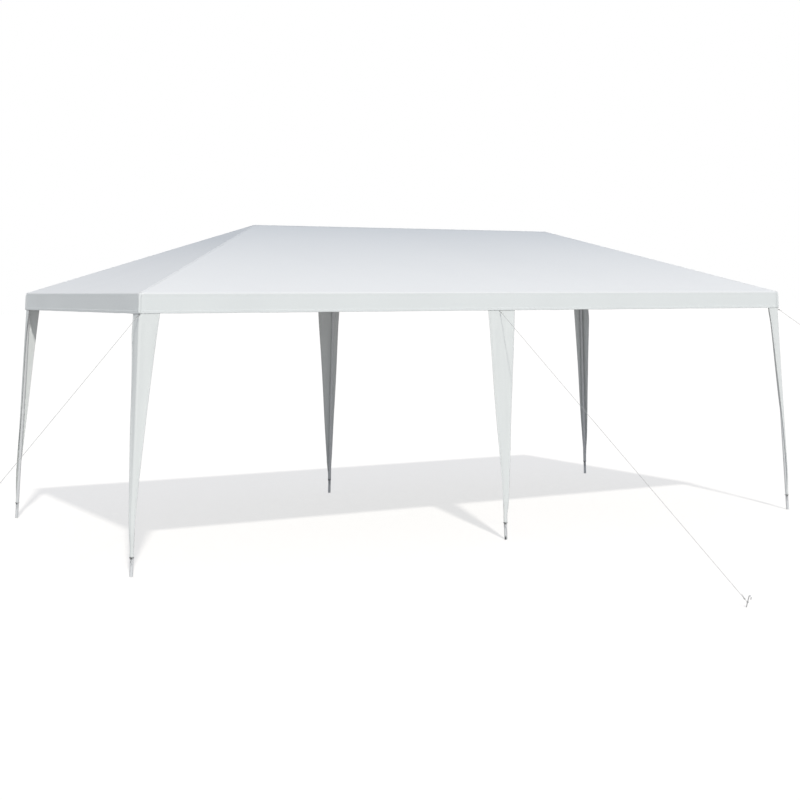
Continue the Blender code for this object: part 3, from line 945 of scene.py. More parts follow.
class GazeboCanopySettings(bpy.types.PropertyGroup):
    """Sizes and colours of the roof cloth and its valance."""

    thickness: FloatProperty(
        name="Thickness", description="Thickness of the woven sheet",
        default=0.0010, min=0.0005, max=0.003, precision=4, unit="LENGTH")
    sag: FloatProperty(
        name="Sag", description="How far the roof sinks between its rafters",
        default=0.011, min=0.0, max=0.05, unit="LENGTH")
    sway: FloatProperty(
        name="Sway", description="How uneven that sag is",
        default=0.004, min=0.0, max=0.02, unit="LENGTH")
    corner_folds: FloatProperty(
        name="Corner folds", description="Depth of the folds that run out from the corners",
        default=0.0014, min=0.0, max=0.01, precision=4, unit="LENGTH")
    hem_wave: FloatProperty(
        name="Hem wave", description="How far the valance swings out at its hem",
        default=0.005, min=0.0, max=0.01, unit="LENGTH")
    hem_lift: FloatProperty(
        name="Hem lift", description="How uneven the height of the hem is",
        default=0.0022, min=0.0, max=0.01, precision=4, unit="LENGTH")
    hem_depth: FloatProperty(
        name="Hem depth", description="Width of the turned hem of the valance",
        default=0.020, min=0.005, max=0.05, unit="LENGTH")
    hem_roll: FloatProperty(
        name="Hem roll", description="How far the turned hem stands proud",
        default=0.0004, min=0.0, max=0.003, precision=4, unit="LENGTH")
    eave_turn: FloatProperty(
        name="Eave turn", description="Length over which the roof turns down at the eave",
        default=0.007, min=0.002, max=0.02, unit="LENGTH")
    eave_seam: FloatProperty(
        name="Eave seam", description="Distance of the stitches below the eave",
        default=0.015, min=0.005, max=0.04, unit="LENGTH")
    eave_pinch: FloatProperty(
        name="Eave pinch", description="How far those stitches draw the cloth in",
        default=0.0010, min=0.0, max=0.002, precision=4, unit="LENGTH")
    seam_width: FloatProperty(
        name="Seam width", description="Width of the felled seams along the hips and the ridge",
        default=0.024, min=0.01, max=0.05, unit="LENGTH")
    seam_height: FloatProperty(
        name="Seam height", description="How far the felled seams stand proud",
        default=0.0014, min=0.0005, max=0.004, precision=4, unit="LENGTH")
    corner_crest: FloatProperty(
        name="Corner crest", description="How far the corner seams stand proud of the valance's ends",
        default=0.0042, min=0.001, max=0.01, precision=4, unit="LENGTH")
    corner_flap: FloatProperty(
        name="Corner flap", description="Width of the corner seams' flap on the valance's ends",
        default=0.028, min=0.01, max=0.06, unit="LENGTH")
    stitch_pitch: FloatProperty(
        name="Stitch pitch", description="Distance from one stitch to the next",
        default=0.0065, min=0.002, max=0.02, precision=4, unit="LENGTH")
    stitch_radius: FloatProperty(
        name="Thread radius", description="Radius of the sewing thread",
        default=0.0005, min=0.0002, max=0.002, precision=4, unit="LENGTH")
    tape_pitch: FloatProperty(
        name="Tape pitch", description="Width of the tapes that the sheet is woven from",
        default=0.0025, min=0.001, max=0.01, precision=4, unit="LENGTH")
    long_columns: IntProperty(
        name="Long columns", description="Columns of the sheet along each long side",
        default=160, min=20, max=300)
    end_columns: IntProperty(
        name="End columns", description="Columns of the sheet along each end",
        default=80, min=10, max=200)
    roof_rows: IntProperty(
        name="Roof rows", description="Rows of the sheet from the ridge to the eave",
        default=34, min=8, max=80)
    hem_rows: IntProperty(
        name="Hem rows", description="Rows of the sheet down the valance",
        default=8, min=2, max=20)
    hem_tint: FloatVectorProperty(
        name="Valance tint", description="Colour of the cloth on the valance",
        subtype="COLOR", default=(0.820, 0.852, 0.848), min=0.0, max=1.0)
    eave_tint: FloatVectorProperty(
        name="Eave tint", description="Colour of the cloth at the eave and below",
        subtype="COLOR", default=(0.85, 0.86, 0.86), min=0.0, max=1.0)
    # Painted shade: the darker, bluer grey that the roof cloth is given towards the ridge and on the
    # end slopes
    ridge_tint: FloatVectorProperty(
        name="Ridge tint", description="Colour of the cloth at the ridge",
        subtype="COLOR", default=(0.600, 0.628, 0.655), min=0.0, max=1.0)
    thread_tint: FloatVectorProperty(
        name="Thread tint", description="Colour of the sewing thread",
        subtype="COLOR", default=(0.72, 0.73, 0.73), min=0.0, max=1.0)


class GazeboDrapeSettings(bpy.types.PropertyGroup):
    """Sizes and colours of the drapes on the legs and of their ties."""

    thickness: FloatProperty(
        name="Thickness", description="Thickness of the drapes' cloth",
        default=0.0010, min=0.0005, max=0.002, precision=4, unit="LENGTH")
    fold_depth: FloatProperty(
        name="Fold depth", description="Depth of the soft upright folds",
        default=0.0022, min=0.0, max=0.01, precision=4, unit="LENGTH")
    edge_curl: FloatProperty(
        name="Edge curl", description="How far the free edges turn in or out",
        default=0.010, min=0.0, max=0.02, unit="LENGTH")
    slack: FloatProperty(
        name="Slack", description="How far the wings swing in or out",
        default=0.008, min=0.0, max=0.02, unit="LENGTH")
    swing: FloatProperty(
        name="Swing", description="How far the free edges of the end sides swing out",
        default=0.010, min=0.0, max=0.03, unit="LENGTH")
    wrap_clearance: FloatProperty(
        name="Wrap clearance", description="From the tube to the middle of the cloth round it",
        default=0.0016, min=0.001, max=0.004, precision=4, unit="LENGTH")
    gather_depth: FloatProperty(
        name="Gather depth", description="Depth of the creases round a guy rope's eyelet",
        default=0.0014, min=0.0, max=0.006, precision=4, unit="LENGTH")
    rope_height: FloatProperty(
        name="Rope height", description="Height at which the guy ropes leave the legs",
        default=1.787, min=1.0, max=1.9, unit="LENGTH")
    hem_width: FloatProperty(
        name="Hem width", description="Width of the drapes' side hems",
        default=0.016, min=0.005, max=0.04, unit="LENGTH")
    columns: IntProperty(
        name="Columns", description="Columns of the sheet on each side of its middle",
        default=22, min=6, max=60)
    rows: IntProperty(
        name="Rows", description="Rows of the sheet from its foot to its head",
        default=96, min=20, max=200)
    lace_radius: FloatProperty(
        name="Lace radius", description="Radius of the lace that ties a drape's foot",
        default=0.0008, min=0.0005, max=0.004, precision=4, unit="LENGTH")
    lace_pitch: FloatProperty(
        name="Lace pitch", description="Rise of the lace in one turn",
        default=0.0042, min=0.003, max=0.05, precision=4, unit="LENGTH")
    tint: FloatVectorProperty(
        name="Tint", description="Colour of the drapes' cloth",
        subtype="COLOR", default=(0.820, 0.848, 0.838), min=0.0, max=1.0)
    lace_tint: FloatVectorProperty(
        name="Lace tint", description="Colour of the lace",
        subtype="COLOR", default=(0.030, 0.030, 0.032), min=0.0, max=1.0)


class GazeboFrameSettings(bpy.types.PropertyGroup):
    """Sizes and colours of the tubes, their joints and the pegs."""

    sides: IntProperty(
        name="Sides", description="Sides of each tube", default=32, min=12, max=64)
    long_tube: FloatProperty(
        name="Long tube", description="Tubes longer than this are plugged together in the middle",
        default=1.6, min=0.5, max=4.0, unit="LENGTH")
    swage_depth: FloatProperty(
        name="Swage depth", description="How much thinner the plugged-in end is",
        default=0.0011, min=0.0003, max=0.003, precision=4, unit="LENGTH")
    wall: FloatProperty(
        name="Wall", description="Thickness of the tubes' walls",
        default=0.0011, min=0.0005, max=0.003, precision=4, unit="LENGTH")
    socket_depth: FloatProperty(
        name="Socket depth", description="How deep a tube sits in its joint's sleeve",
        default=0.0607, min=0.01, max=0.1, precision=4, unit="LENGTH")
    paint_tint: FloatVectorProperty(
        name="Paint tint", description="Colour of the tubes' powder coat",
        subtype="COLOR", default=(0.76, 0.775, 0.785), min=0.0, max=1.0)
    plastic_tint: FloatVectorProperty(
        name="Plastic tint", description="Colour of the joints",
        subtype="COLOR", default=(0.55, 0.56, 0.57), min=0.0, max=1.0)
    zinc_tint: FloatVectorProperty(
        name="Zinc tint", description="Colour of the plated pegs, screws and eyelets",
        subtype="COLOR", default=(0.84, 0.85, 0.86), min=0.0, max=1.0)


class GazeboRopeSettings(bpy.types.PropertyGroup):
    """Sizes and colour of the guy ropes."""

    radius: FloatProperty(
        name="Radius", description="Radius of the rope over its strands",
        default=0.0016, min=0.0005, max=0.005, precision=4, unit="LENGTH")
    lay: FloatProperty(
        name="Lay", description="Length in which the strands wind once round",
        default=0.016, min=0.005, max=0.05, unit="LENGTH")
    groove: FloatProperty(
        name="Groove", description="Depth of the grooves between the strands",
        default=0.00045, min=0.0, max=0.001, precision=5, unit="LENGTH")
    step: FloatProperty(
        name="Step", description="Distance between two rings of the rope's mesh",
        default=0.0022, min=0.001, max=0.01, precision=4, unit="LENGTH")
    eyelet: FloatProperty(
        name="Eyelet", description="Inner radius of the eyelets in the drapes",
        default=0.0042, min=0.002, max=0.01, precision=4, unit="LENGTH")
    rope_tint: FloatVectorProperty(
        name="Rope tint", description="Colour of the rope",
        subtype="COLOR", default=(0.57, 0.575, 0.565), min=0.0, max=1.0)


class GazeboStageSettings(bpy.types.PropertyGroup):
    """The light and the floor."""

    sun_strength: FloatProperty(
        name="Sun strength", description="Strength of the sun", default=2.09, min=0.0, max=10.0)
    sun_angle: FloatProperty(
        name="Sun angle", description="Apparent size of the sun, which softens its shadows",
        subtype="ANGLE", default=math.radians(2.6), min=0.0, max=1.0)
    sun_tint: FloatVectorProperty(
        name="Sun tint", description="Colour of the sun's light",
        subtype="COLOR", default=(1.0, 0.985, 0.945), min=0.0, max=1.0)
    zenith_tint: FloatVectorProperty(
        name="Zenith light", description="Light from straight above",
        subtype="COLOR", default=(0.35, 0.36, 0.42), min=0.0, max=4.0)
    horizon_tint: FloatVectorProperty(
        name="Horizon light", description="Light from the horizon",
        subtype="COLOR", default=(0.58, 0.62, 0.65), min=0.0, max=4.0)
    floor_tint: FloatVectorProperty(
        name="Floor tint", description="How much light the floor gives back",
        subtype="COLOR", default=(0.49, 0.475, 0.46), min=0.0, max=1.0)
    floor_glow: FloatVectorProperty(
        name="Floor glow", description="Light that the pale floor adds for the camera",
        subtype="COLOR", default=(0.606, 0.606, 0.601), min=0.0, max=1.0)
    floor_size: FloatProperty(
        name="Floor size", description="Half width of the floor",
        default=120.0, min=10.0, max=500.0, unit="LENGTH")


class GazeboSettings(bpy.types.PropertyGroup):
    """All settings of the gazebo."""

    canopy: PointerProperty(type=GazeboCanopySettings)
    drapes: PointerProperty(type=GazeboDrapeSettings)
    frame: PointerProperty(type=GazeboFrameSettings)
    ropes: PointerProperty(type=GazeboRopeSettings)
    stage: PointerProperty(type=GazeboStageSettings)


# The guy ropes' lines, which both the ropes and the drapes' eyelets follow

# From a tube to the inside of the rope round it
ROPE_GAP = 0.0003
# Points of a peg below this height are its shank's foot
PEG_FOOT = 0.002
# Points in this band of heights, and no further out than this, are its shank
SHANK_BAND = (0.045, 0.082)
SHANK_REACH = 0.034
# Points of a rope this close to its furthest one are its loop round the peg
PEG_REACH = 0.010
# The straight run ends this far short of that loop's middle
PEG_INSET = 0.004


class GuyLine:
    """A guy rope's straight run, read from its own node and its peg's."""

    def __init__(self, leg, settings):
        self.leg_centre = leg_point(leg, settings.drapes.rope_height)
        foot, top = LEG_LINES[leg]
        self.leg_axis = unit(top - foot)
        points = node_points("guy_rope_" + leg)
        peg_points = node_points("peg_" + leg)
        self.shank_foot = peg_points[peg_points[:, 2] < PEG_FOOT].mean(axis=0)
        gone = np.linalg.norm(points[:, :2] - self.leg_centre[:2], axis=1)
        self.peg_centre = points[gone > gone.max() - PEG_REACH].mean(axis=0)
        self.outward = unit(np.append(self.peg_centre[:2] - self.leg_centre[:2], 0.0))
        self.loop = TUBE_RADIUS + ROPE_GAP + settings.ropes.radius
        flat = unit(self.outward - (self.outward @ self.leg_axis) * self.leg_axis)
        self.leg_knot = self.leg_centre + self.loop * flat
        self.shank = self.shank_way(peg_points)
        self.peg_knot = self.peg_centre - PEG_INSET * self.outward
        self.way = unit(self.peg_knot - self.leg_knot)

    def shank_way(self, points):
        """The direction of the peg's straight shank."""
        low, high = SHANK_BAND
        band = points[(points[:, 2] > low) & (points[:, 2] < high)]
        near = band[((band - self.shank_foot)[:, :2] @ self.outward[:2]) < SHANK_REACH]
        return unit(near.mean(axis=0) - self.shank_foot)


def wound(centre, axis, start_way, radius, pitch, turns, steps=18):
    """Points of a coil about an axis that begins at a direction from it."""
    first = unit(start_way - (start_way @ axis) * axis)
    second = np.cross(axis, first)
    points = []
    for step in range(int(turns * steps) + 1):
        turn = 2 * math.pi * step / steps
        spoke = math.cos(turn) * first + math.sin(turn) * second
        height = pitch * (step / steps - turns / 2)
        points.append(centre + height * axis + radius * spoke)
    return points


def even_path(points, step):
    """The same line with points at an even distance."""
    points = np.asarray(points, dtype=float)
    gone = travelled(points)
    stops = np.linspace(0, gone[-1], int(gone[-1] / step) + 1)
    return np.column_stack([np.interp(stops, gone, points[:, axis]) for axis in range(3)])


# Operators

# Buttons and screws face the middle of the space under the roof, at this height
MIDDLE_HEIGHT = 0.9


class GAZEBO_OT_canopy(bpy.types.Operator):
    """Lays the white roof cloth over the frame as one sheet, with its valance."""

    bl_idname = "gazebo.canopy"
    bl_label = "Canopy"

    def execute(self, context):
        settings = context.scene.gazebo
        cloth = finished(roof_weave, settings)
        columns, rows = canopy_rows(settings)
        pile = sheet_of_rows(columns, rows)
        canopy = pile.piece("canopy", cloth, "canopy_cloth", settings.canopy.thickness, merge=1e-5)
        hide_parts(*CANOPY_NODES)
        return {"FINISHED"}


class GAZEBO_OT_seams(bpy.types.Operator):
    """Sews the felled seams on the hips and the ridge, the valance's hem and its corners."""

    bl_idname = "gazebo.seams"
    bl_label = "Seams and hems"

    # Thickness of the seams' cloth, and how far it lies off the sheet
    THICKNESS = 0.0008
    LIFT = 0.0002
    # A felled seam's section, as (share of its half width, share of its height)
    FELLED = (
        (-1.0, 0.0), (-0.93, 0.55), (-0.55, 0.62), (-0.2, 1.0),
        (0.2, 1.0), (0.55, 0.62), (0.93, 0.55), (1.0, 0.0),
    )
    # Its rows of stitches, as shares of its half width
    FELLED_ROWS = (-0.75, 0.75)
    # They lie at this share of its height, and this much higher
    THREAD_SHARE = 0.6
    THREAD_LIFT = 0.0006
    # Where the hip seams start and end, as shares of the way up, and the steps of both seams
    HIP_RUN = (0.004, 0.998)
    HIP_STEPS = 90
    RIDGE_STEPS = 60
    # The valance's hem: its steps and its lift, how far (in, down) its fold lies, and its back (up, in)
    HEM_STEPS = 6
    HEM_LIFT = 0.0003
    HEM_FOLD = (0.0006, 0.0005)
    HEM_BACK = (0.004, 0.0014)
    # Its stitches, as (distance from its upper edge, height over the cloth), and those of the eave
    HEM_THREAD = (0.003, 0.0013)
    EAVE_THREAD = 0.0003
    # A corner seam grows to its full height over this distance, and ends this far above the hem
    CORNER_START = 0.016
    CORNER_END = 0.001
    CORNER_STEPS = 24
    # Its first steps aren't sewn, and its thread lies this high over the cloth
    CORNER_UNSEWN = 4
    CORNER_THREAD = 0.0005

    def execute(self, context):
        settings = context.scene.gazebo
        cloth = finished(roof_weave, settings)
        thread = finished(sewing_thread, settings)
        self.stitching = Pile()
        seams = {
            "hip_seams": self.hip_seams(settings),
            "ridge_seam": self.ridge_seam(settings),
            "valance_hem": self.valance_hem(settings),
            "corner_seams": self.corner_seams(settings),
        }
        self.sew_round(settings, settings.canopy.eave_seam, self.EAVE_THREAD)
        for name, pile in seams.items():
            pile.piece(name, cloth, "canopy_cloth", self.THICKNESS)
        self.stitching.piece("canopy_stitches", thread, "canopy_cloth")
        return {"FINISHED"}

    def felled(self, pile, canopy, half, spots, place):
        """A felled seam past some spots, where place gives a point from (spot, across, height)."""
        tall = canopy.seam_height
        section = [(share * half, rise * tall + self.LIFT) for share, rise in self.FELLED]
        pile.rows([[place(spot, *step) for step in section] for spot in spots])
        for share in self.FELLED_ROWS:
            rise = self.THREAD_LIFT + self.THREAD_SHARE * tall
            self.stitching.sew(canopy, [place(spot, share * half, rise) for spot in spots])

    def hip_seams(self, settings):
        pile = Pile()
        slant = math.sin(math.atan2(HALF_WIDTH, HALF_LENGTH - RIDGE_HALF))
        half = settings.canopy.seam_width / 2 / slant
        levels = np.linspace(*self.HIP_RUN, self.HIP_STEPS)
        for a, b in CORNERS.values():
            def place(level, across, height):
                return roof_point(settings, a, b, level, height, across)

            self.felled(pile, settings.canopy, half, levels, place)
        return pile

    def ridge_seam(self, settings):
        pile = Pile()
        spots = np.linspace(-RIDGE_HALF, RIDGE_HALF, self.RIDGE_STEPS)
        self.felled(pile, settings.canopy, settings.canopy.seam_width / 2, spots, self.ridge_point)
        return pile

    def ridge_point(self, x, across, height):
        """A point on or over the roof beside the ridge."""
        side = math.copysign(1, across)
        return np.array([
            x,
            CENTRE_Y + across * math.cos(LONG_PITCH) + side * height * math.sin(LONG_PITCH),
            RIDGE_HEIGHT - abs(across) * math.sin(LONG_PITCH) + height * math.cos(LONG_PITCH),
        ])

    def valance_hem(self, settings):
        """The turned hem: a soft roll round the lower edge."""
        canopy = settings.canopy
        rows = []
        for step in range(self.HEM_STEPS + 1):
            share = step / self.HEM_STEPS
            swell = canopy.hem_roll * math.sin(math.pi * share) ** 0.7
            depth = DROP - blend(canopy.hem_depth, 0.0, share)
            rows.append(around(settings, depth, self.HEM_LIFT + swell))
        inward, down = self.HEM_FOLD
        rows.append([point - (0, 0, down) for point in around(settings, DROP, -inward)])
        up, inward = self.HEM_BACK
        rows.append(around(settings, DROP - up, -inward))
        pile = Pile()
        pile.rows(rows, round_about=True)
        below, proud = self.HEM_THREAD
        self.sew_round(settings, DROP - (canopy.hem_depth - below), proud)
        return pile

    def sew_round(self, settings, depth, proud):
        """A row of stitches all round the valance."""
        path = around(settings, depth, proud)
        self.stitching.sew(settings.canopy, [*path, path[0]])

    def corner_seams(self, settings):
        """The upright seam at each corner of the valance, with its flap on the end."""
        canopy = settings.canopy
        pile = Pile()
        crest, flap, half = canopy.corner_crest, canopy.corner_flap, canopy.seam_width / 2
        section = [
            (-flap, 0.0), (-0.93 * flap, 0.14 * crest), (-0.5 * flap, 0.52 * crest), (-0.0010, crest),
            (0.0004, 1.15 * canopy.seam_height), (half, canopy.seam_height), (1.25 * half, 0.0),
        ]
        sewn = ((-0.82 * flap, 0.30 * crest), (0.75 * half, canopy.seam_height))
        drops = np.linspace(canopy.eave_turn, DROP - self.CORNER_END, self.CORNER_STEPS)
        sewn_drops = drops[self.CORNER_UNSEWN:]
        for a, b in CORNERS.values():
            rows = []
            for d in drops:
                grown = eased(0.0, self.CORNER_START, d - canopy.eave_turn)
                lifted = [(across, height * grown + self.LIFT) for across, height in section]
                rows.append([self.corner_point(settings, a, b, d, *spot) for spot in lifted])
            pile.rows(rows)
            for across, height in sewn:
                rise = height + self.CORNER_THREAD
                path = [self.corner_point(settings, a, b, d, across, rise) for d in sewn_drops]
                self.stitching.sew(canopy, path)
        return pile

    def corner_point(self, settings, a, b, d, across, height):
        """A point beside a corner of the valance, on the end for a negative distance."""
        corner = valance_point(settings, a, b, d)
        if across < 0:
            return corner + np.array([a * height, b * across, 0.0])
        return corner + np.array([-a * across, b * height, 0.0])


class GAZEBO_OT_drapes(bpy.types.Operator):
    """Hangs a tapered drape on each leg, with its hems and stitches."""

    bl_idname = "gazebo.drapes"
    bl_label = "Leg drapes"

    # A side hem's section, as (share of its width, side of the cloth, height over its face)
    HEM = (
        (1.0, 1, 0.0), (0.92, 1, 0.0006), (0.5, 1, 0.0008), (0.1, 1, 0.0007),
        (-0.03, 0, 0.0), (0.1, -1, 0.0006), (0.6, -1, 0.0006), (0.7, -1, 0.0),
    )
    HEM_THICKNESS = 0.0004
    # Its stitches, as (share of its width, height over the cloth's face)
    THREAD = (0.82, 0.0012)
    # How far hems and stitches stop short of the drape's head and foot
    HEM_MARGIN = 0.001
    THREAD_MARGIN = 0.004
    # How far the punch of the eyelet's hole reaches from the leg, and its sides
    PUNCH_REACH = 0.16
    PUNCH_SIDES = 24

    def execute(self, context):
        settings = context.scene.gazebo
        cloth = finished(drape_weave, settings)
        thread = finished(sewing_thread, settings)
        for name in LEGS:
            drape = Drape(name, settings)
            sheet = self.sheet(drape, settings, cloth)
            hem = self.hems(drape, cloth)
            stitching = self.stitching(drape, settings, thread)
            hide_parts(*self.nodes(name))
            drape.flat_size()
            self.joint(name)
            drape.area()
        return {"FINISHED"}

    def nodes(self, name):
        if name in CORNERS:
            return [f"leg_drape_{name}_long_side", f"leg_drape_{name}_end_side"]
        return ["leg_drape_" + name]

    def joint(self, name):
        return "corner_joint_" + name if name in CORNERS else "side_joint_" + name.split("_")[0]

    def shares(self, drape):
        """Where the sheet's columns stand, as shares of its reach, denser at the hems."""
        count = drape.settings.columns
        one_side = [math.sin(math.pi / 2 * step / count) for step in range(count + 1)]
        return [-share for share in reversed(one_side[1:])] + one_side

    def sheet(self, drape, settings, cloth):
        pile = Pile()
        rows = []
        for height in np.linspace(DRAPE_BOTTOM, DRAPE_TOP, drape.settings.rows + 1):
            first, second = drape.reaches(height)
            spots = [share * (first if share < 0 else second) for share in self.shares(drape)]
            rows.append([drape.point(spot, height) for spot in spots])
        pile.rows(rows)
        name = "leg_drape_" + drape.name + "_cloth"
        piece = pile.piece(name, cloth, "drape_cloth", -drape.settings.thickness)
        if drape.name in ROPED_LEGS:
            self.pierce(piece, drape, settings)
        return piece

    def pierce(self, piece, drape, settings):
        """Cuts the hole that the guy rope comes out through."""
        line = GuyLine(drape.name, settings)
        punch = Pile()
        hole = [(along, settings.ropes.eyelet) for along in (0.0, self.PUNCH_REACH)]
        punch.turned(line.leg_knot, line.way, hole, self.PUNCH_SIDES)
        cutter = punch.piece("eyelet_punch", piece.data.materials[0])
        cutter.hide_render = True
        cut = piece.modifiers.new("eyelet", "BOOLEAN")
        cut.operation = "DIFFERENCE"
        cut.solver = "EXACT"
        cut.object = cutter
        settle(piece)
        bpy.data.objects.remove(cutter, do_unlink=True)

    def hems(self, drape, cloth):
        """Turned hems down both edges."""
        pile = Pile()
        half = drape.settings.thickness / 2
        section = [(share, face * (half + rise)) for share, face, rise in self.HEM]
        for rows in drape.down_edges(self.HEM_MARGIN, section):
            pile.rows(rows)
        return pile.piece("leg_drape_" + drape.name + "_hems", cloth, "drape_cloth", self.HEM_THICKNESS)

    def stitching(self, drape, settings, thread):
        pile = Pile()
        share, rise = self.THREAD
        line = [(share, drape.settings.thickness / 2 + rise)]
        for rows in drape.down_edges(self.THREAD_MARGIN, line):
            pile.sew(settings.canopy, [row[0] for row in rows])
        return pile.piece("leg_drape_" + drape.name + "_stitches", thread, "drape_cloth")


class GAZEBO_OT_ties(bpy.types.Operator):
    """Winds a dark lace round the foot of each drape and knots it."""

    bl_idname = "gazebo.ties"
    bl_label = "Drape ties"

    # The lace's turns round the foot, the steps of one, their gap to the cloth and their height
    TURNS = 1.25
    TURN_STEPS = 30
    GAP = 0.0004
    HEIGHT = 0.1325
    # From one ring of the lace's mesh to the next along its turns and tails, and its sides
    LACE_STEP = 0.003
    SIDES = 10
    # Bow and tails: their lace's radius as a share of the turns', and its sides
    THIN = 0.8
    THIN_SIDES = 8
    # The side that the knot is on, how far it hangs below the turns' middle, and how far it stands
    # off the cloth, as a multiple of the lace's radius
    KNOT_WAY = (-0.62, -0.78, 0.0)
    KNOT_DROP = 0.004
    KNOT_STAND = 2.6
    # Its coil: radius and rise as multiples of the lace's radius, turns, steps and its rings' distance
    KNOT_COIL = (1.4, 1.7)
    KNOT_TURNS = 2.5
    KNOT_STEPS = 14
    KNOT_STEP = 0.0016
    # How far the bow's loops reach and hang, and how far their two halves are off their middle
    BOW_REACH = 0.009
    BOW_SAG = 0.005
    BOW_LEAN = 0.003
    BOW_STEPS = 24
    # The two tails, as (side, length), and the leg whose second one almost reaches the ground
    TAILS = ((-1, 0.036), (1, 0.052))
    TAIL_STEPS = 18
    # How far a tail is aside at its start, how far it swings beyond that, and its swing's turn
    TAIL_ASIDE = (0.0015, 0.004, 3.0)
    # It nears the tube between these shares of its length, up to this multiple of the lace's radius
    TAIL_NEARS = (0.05, 0.35)
    TAIL_NEAR = 1.2
    LONG_TAIL = "front_middle"
    LONG_TAIL_END = 0.022
    # The thick knot at that tail's end, as (distance below its top, radius), and its top's place
    # above and outside the tail's end
    END_KNOT = (
        (0.0, 0.0009), (0.004, 0.0022), (0.012, 0.0042),
        (0.021, 0.0054), (0.028, 0.0048), (0.0325, 0.0020),
    )
    END_KNOT_RISE = 0.0115
    END_KNOT_STAND = 0.004
    END_KNOT_SIDES = 16

    def execute(self, context):
        settings = context.scene.gazebo
        lace = finished(dark_lace, settings)
        for name in LEGS:
            pile = Pile()
            outward = self.winding(pile, name, settings)
            self.knot(pile, name, settings, outward)
            pile.piece("drape_tie_" + name, lace)
        return {"FINISHED"}

    def winding(self, pile, name, settings):
        """Turns of lace round the drape's foot; gives the side that they end on."""
        radius = settings.drapes.lace_radius
        foot, top = LEG_LINES[name]
        axis = unit(top - foot)
        first = unit(self.KNOT_WAY - (self.KNOT_WAY @ axis) * axis)
        second = np.cross(axis, first)
        cloth = settings.drapes.wrap_clearance + settings.drapes.thickness
        reach = TUBE_RADIUS + cloth + radius + self.GAP
        points = []
        for step in range(int(self.TURNS * self.TURN_STEPS) + 1):
            gone = step / self.TURN_STEPS
            turn = 2 * math.pi * (gone - self.TURNS)
            height = self.HEIGHT + settings.drapes.lace_pitch * (self.TURNS / 2 - gone)
            spoke = math.cos(turn) * first + math.sin(turn) * second
            points.append(leg_point(name, height) + reach * spoke)
        pile.along(even_path(points, self.LACE_STEP), radius, self.SIDES)
        return first

    def knot(self, pile, name, settings, outward):
        """A small knot at the leg's side, with a bow and two tails."""
        radius = settings.drapes.lace_radius
        across = unit(np.array([-outward[1], outward[0], 0.0]))
        stand = TUBE_RADIUS + settings.drapes.wrap_clearance + settings.drapes.thickness
        stand += self.KNOT_STAND * radius
        centre = leg_point(name, self.HEIGHT - self.KNOT_DROP) + outward * stand
        coil, rise = (share * radius for share in self.KNOT_COIL)
        knot = wound(centre, across, outward, coil, rise, self.KNOT_TURNS, self.KNOT_STEPS)
        pile.along(even_path(knot, self.KNOT_STEP), radius, self.SIDES)
        for way, length in self.TAILS:
            pile.along(self.bow(centre, across * way), self.THIN * radius, self.THIN_SIDES)
            reaches_down = name == self.LONG_TAIL and way > 0
            if reaches_down:
                length = centre[2] - self.LONG_TAIL_END
            tail = [centre]
            for step in range(2, self.TAIL_STEPS + 1):
                share = step / self.TAIL_STEPS
                aside, swing, turn = self.TAIL_ASIDE
                lean = across * way * (aside + swing * math.sin(turn * share))
                nearest = TUBE_RADIUS + self.TAIL_NEAR * radius
                close = blend(stand, nearest, eased(*self.TAIL_NEARS, share))
                tail.append(leg_point(name, centre[2] - length * share) + lean + outward * close)
            pile.along(even_path(tail, self.LACE_STEP), self.THIN * radius, self.THIN_SIDES)
            if reaches_down:
                top = tail[-1] + outward * self.END_KNOT_STAND + (0, 0, self.END_KNOT_RISE)
                down = np.array([0.0, 0.0, -1.0])
                pile.turned(top, down, self.END_KNOT, self.END_KNOT_SIDES)

    def bow(self, centre, way):
        """One of the bow's two loops, out to a side and back."""
        points = []
        for step in range(self.BOW_STEPS + 1):
            turn = 2 * math.pi * step / self.BOW_STEPS
            half = math.sin(turn / 2)
            droop = self.BOW_SAG * half ** 2 + self.BOW_LEAN * math.sin(turn)
            points.append(centre + way * (self.BOW_REACH * half) - np.array([0.0, 0.0, droop]))
        return points


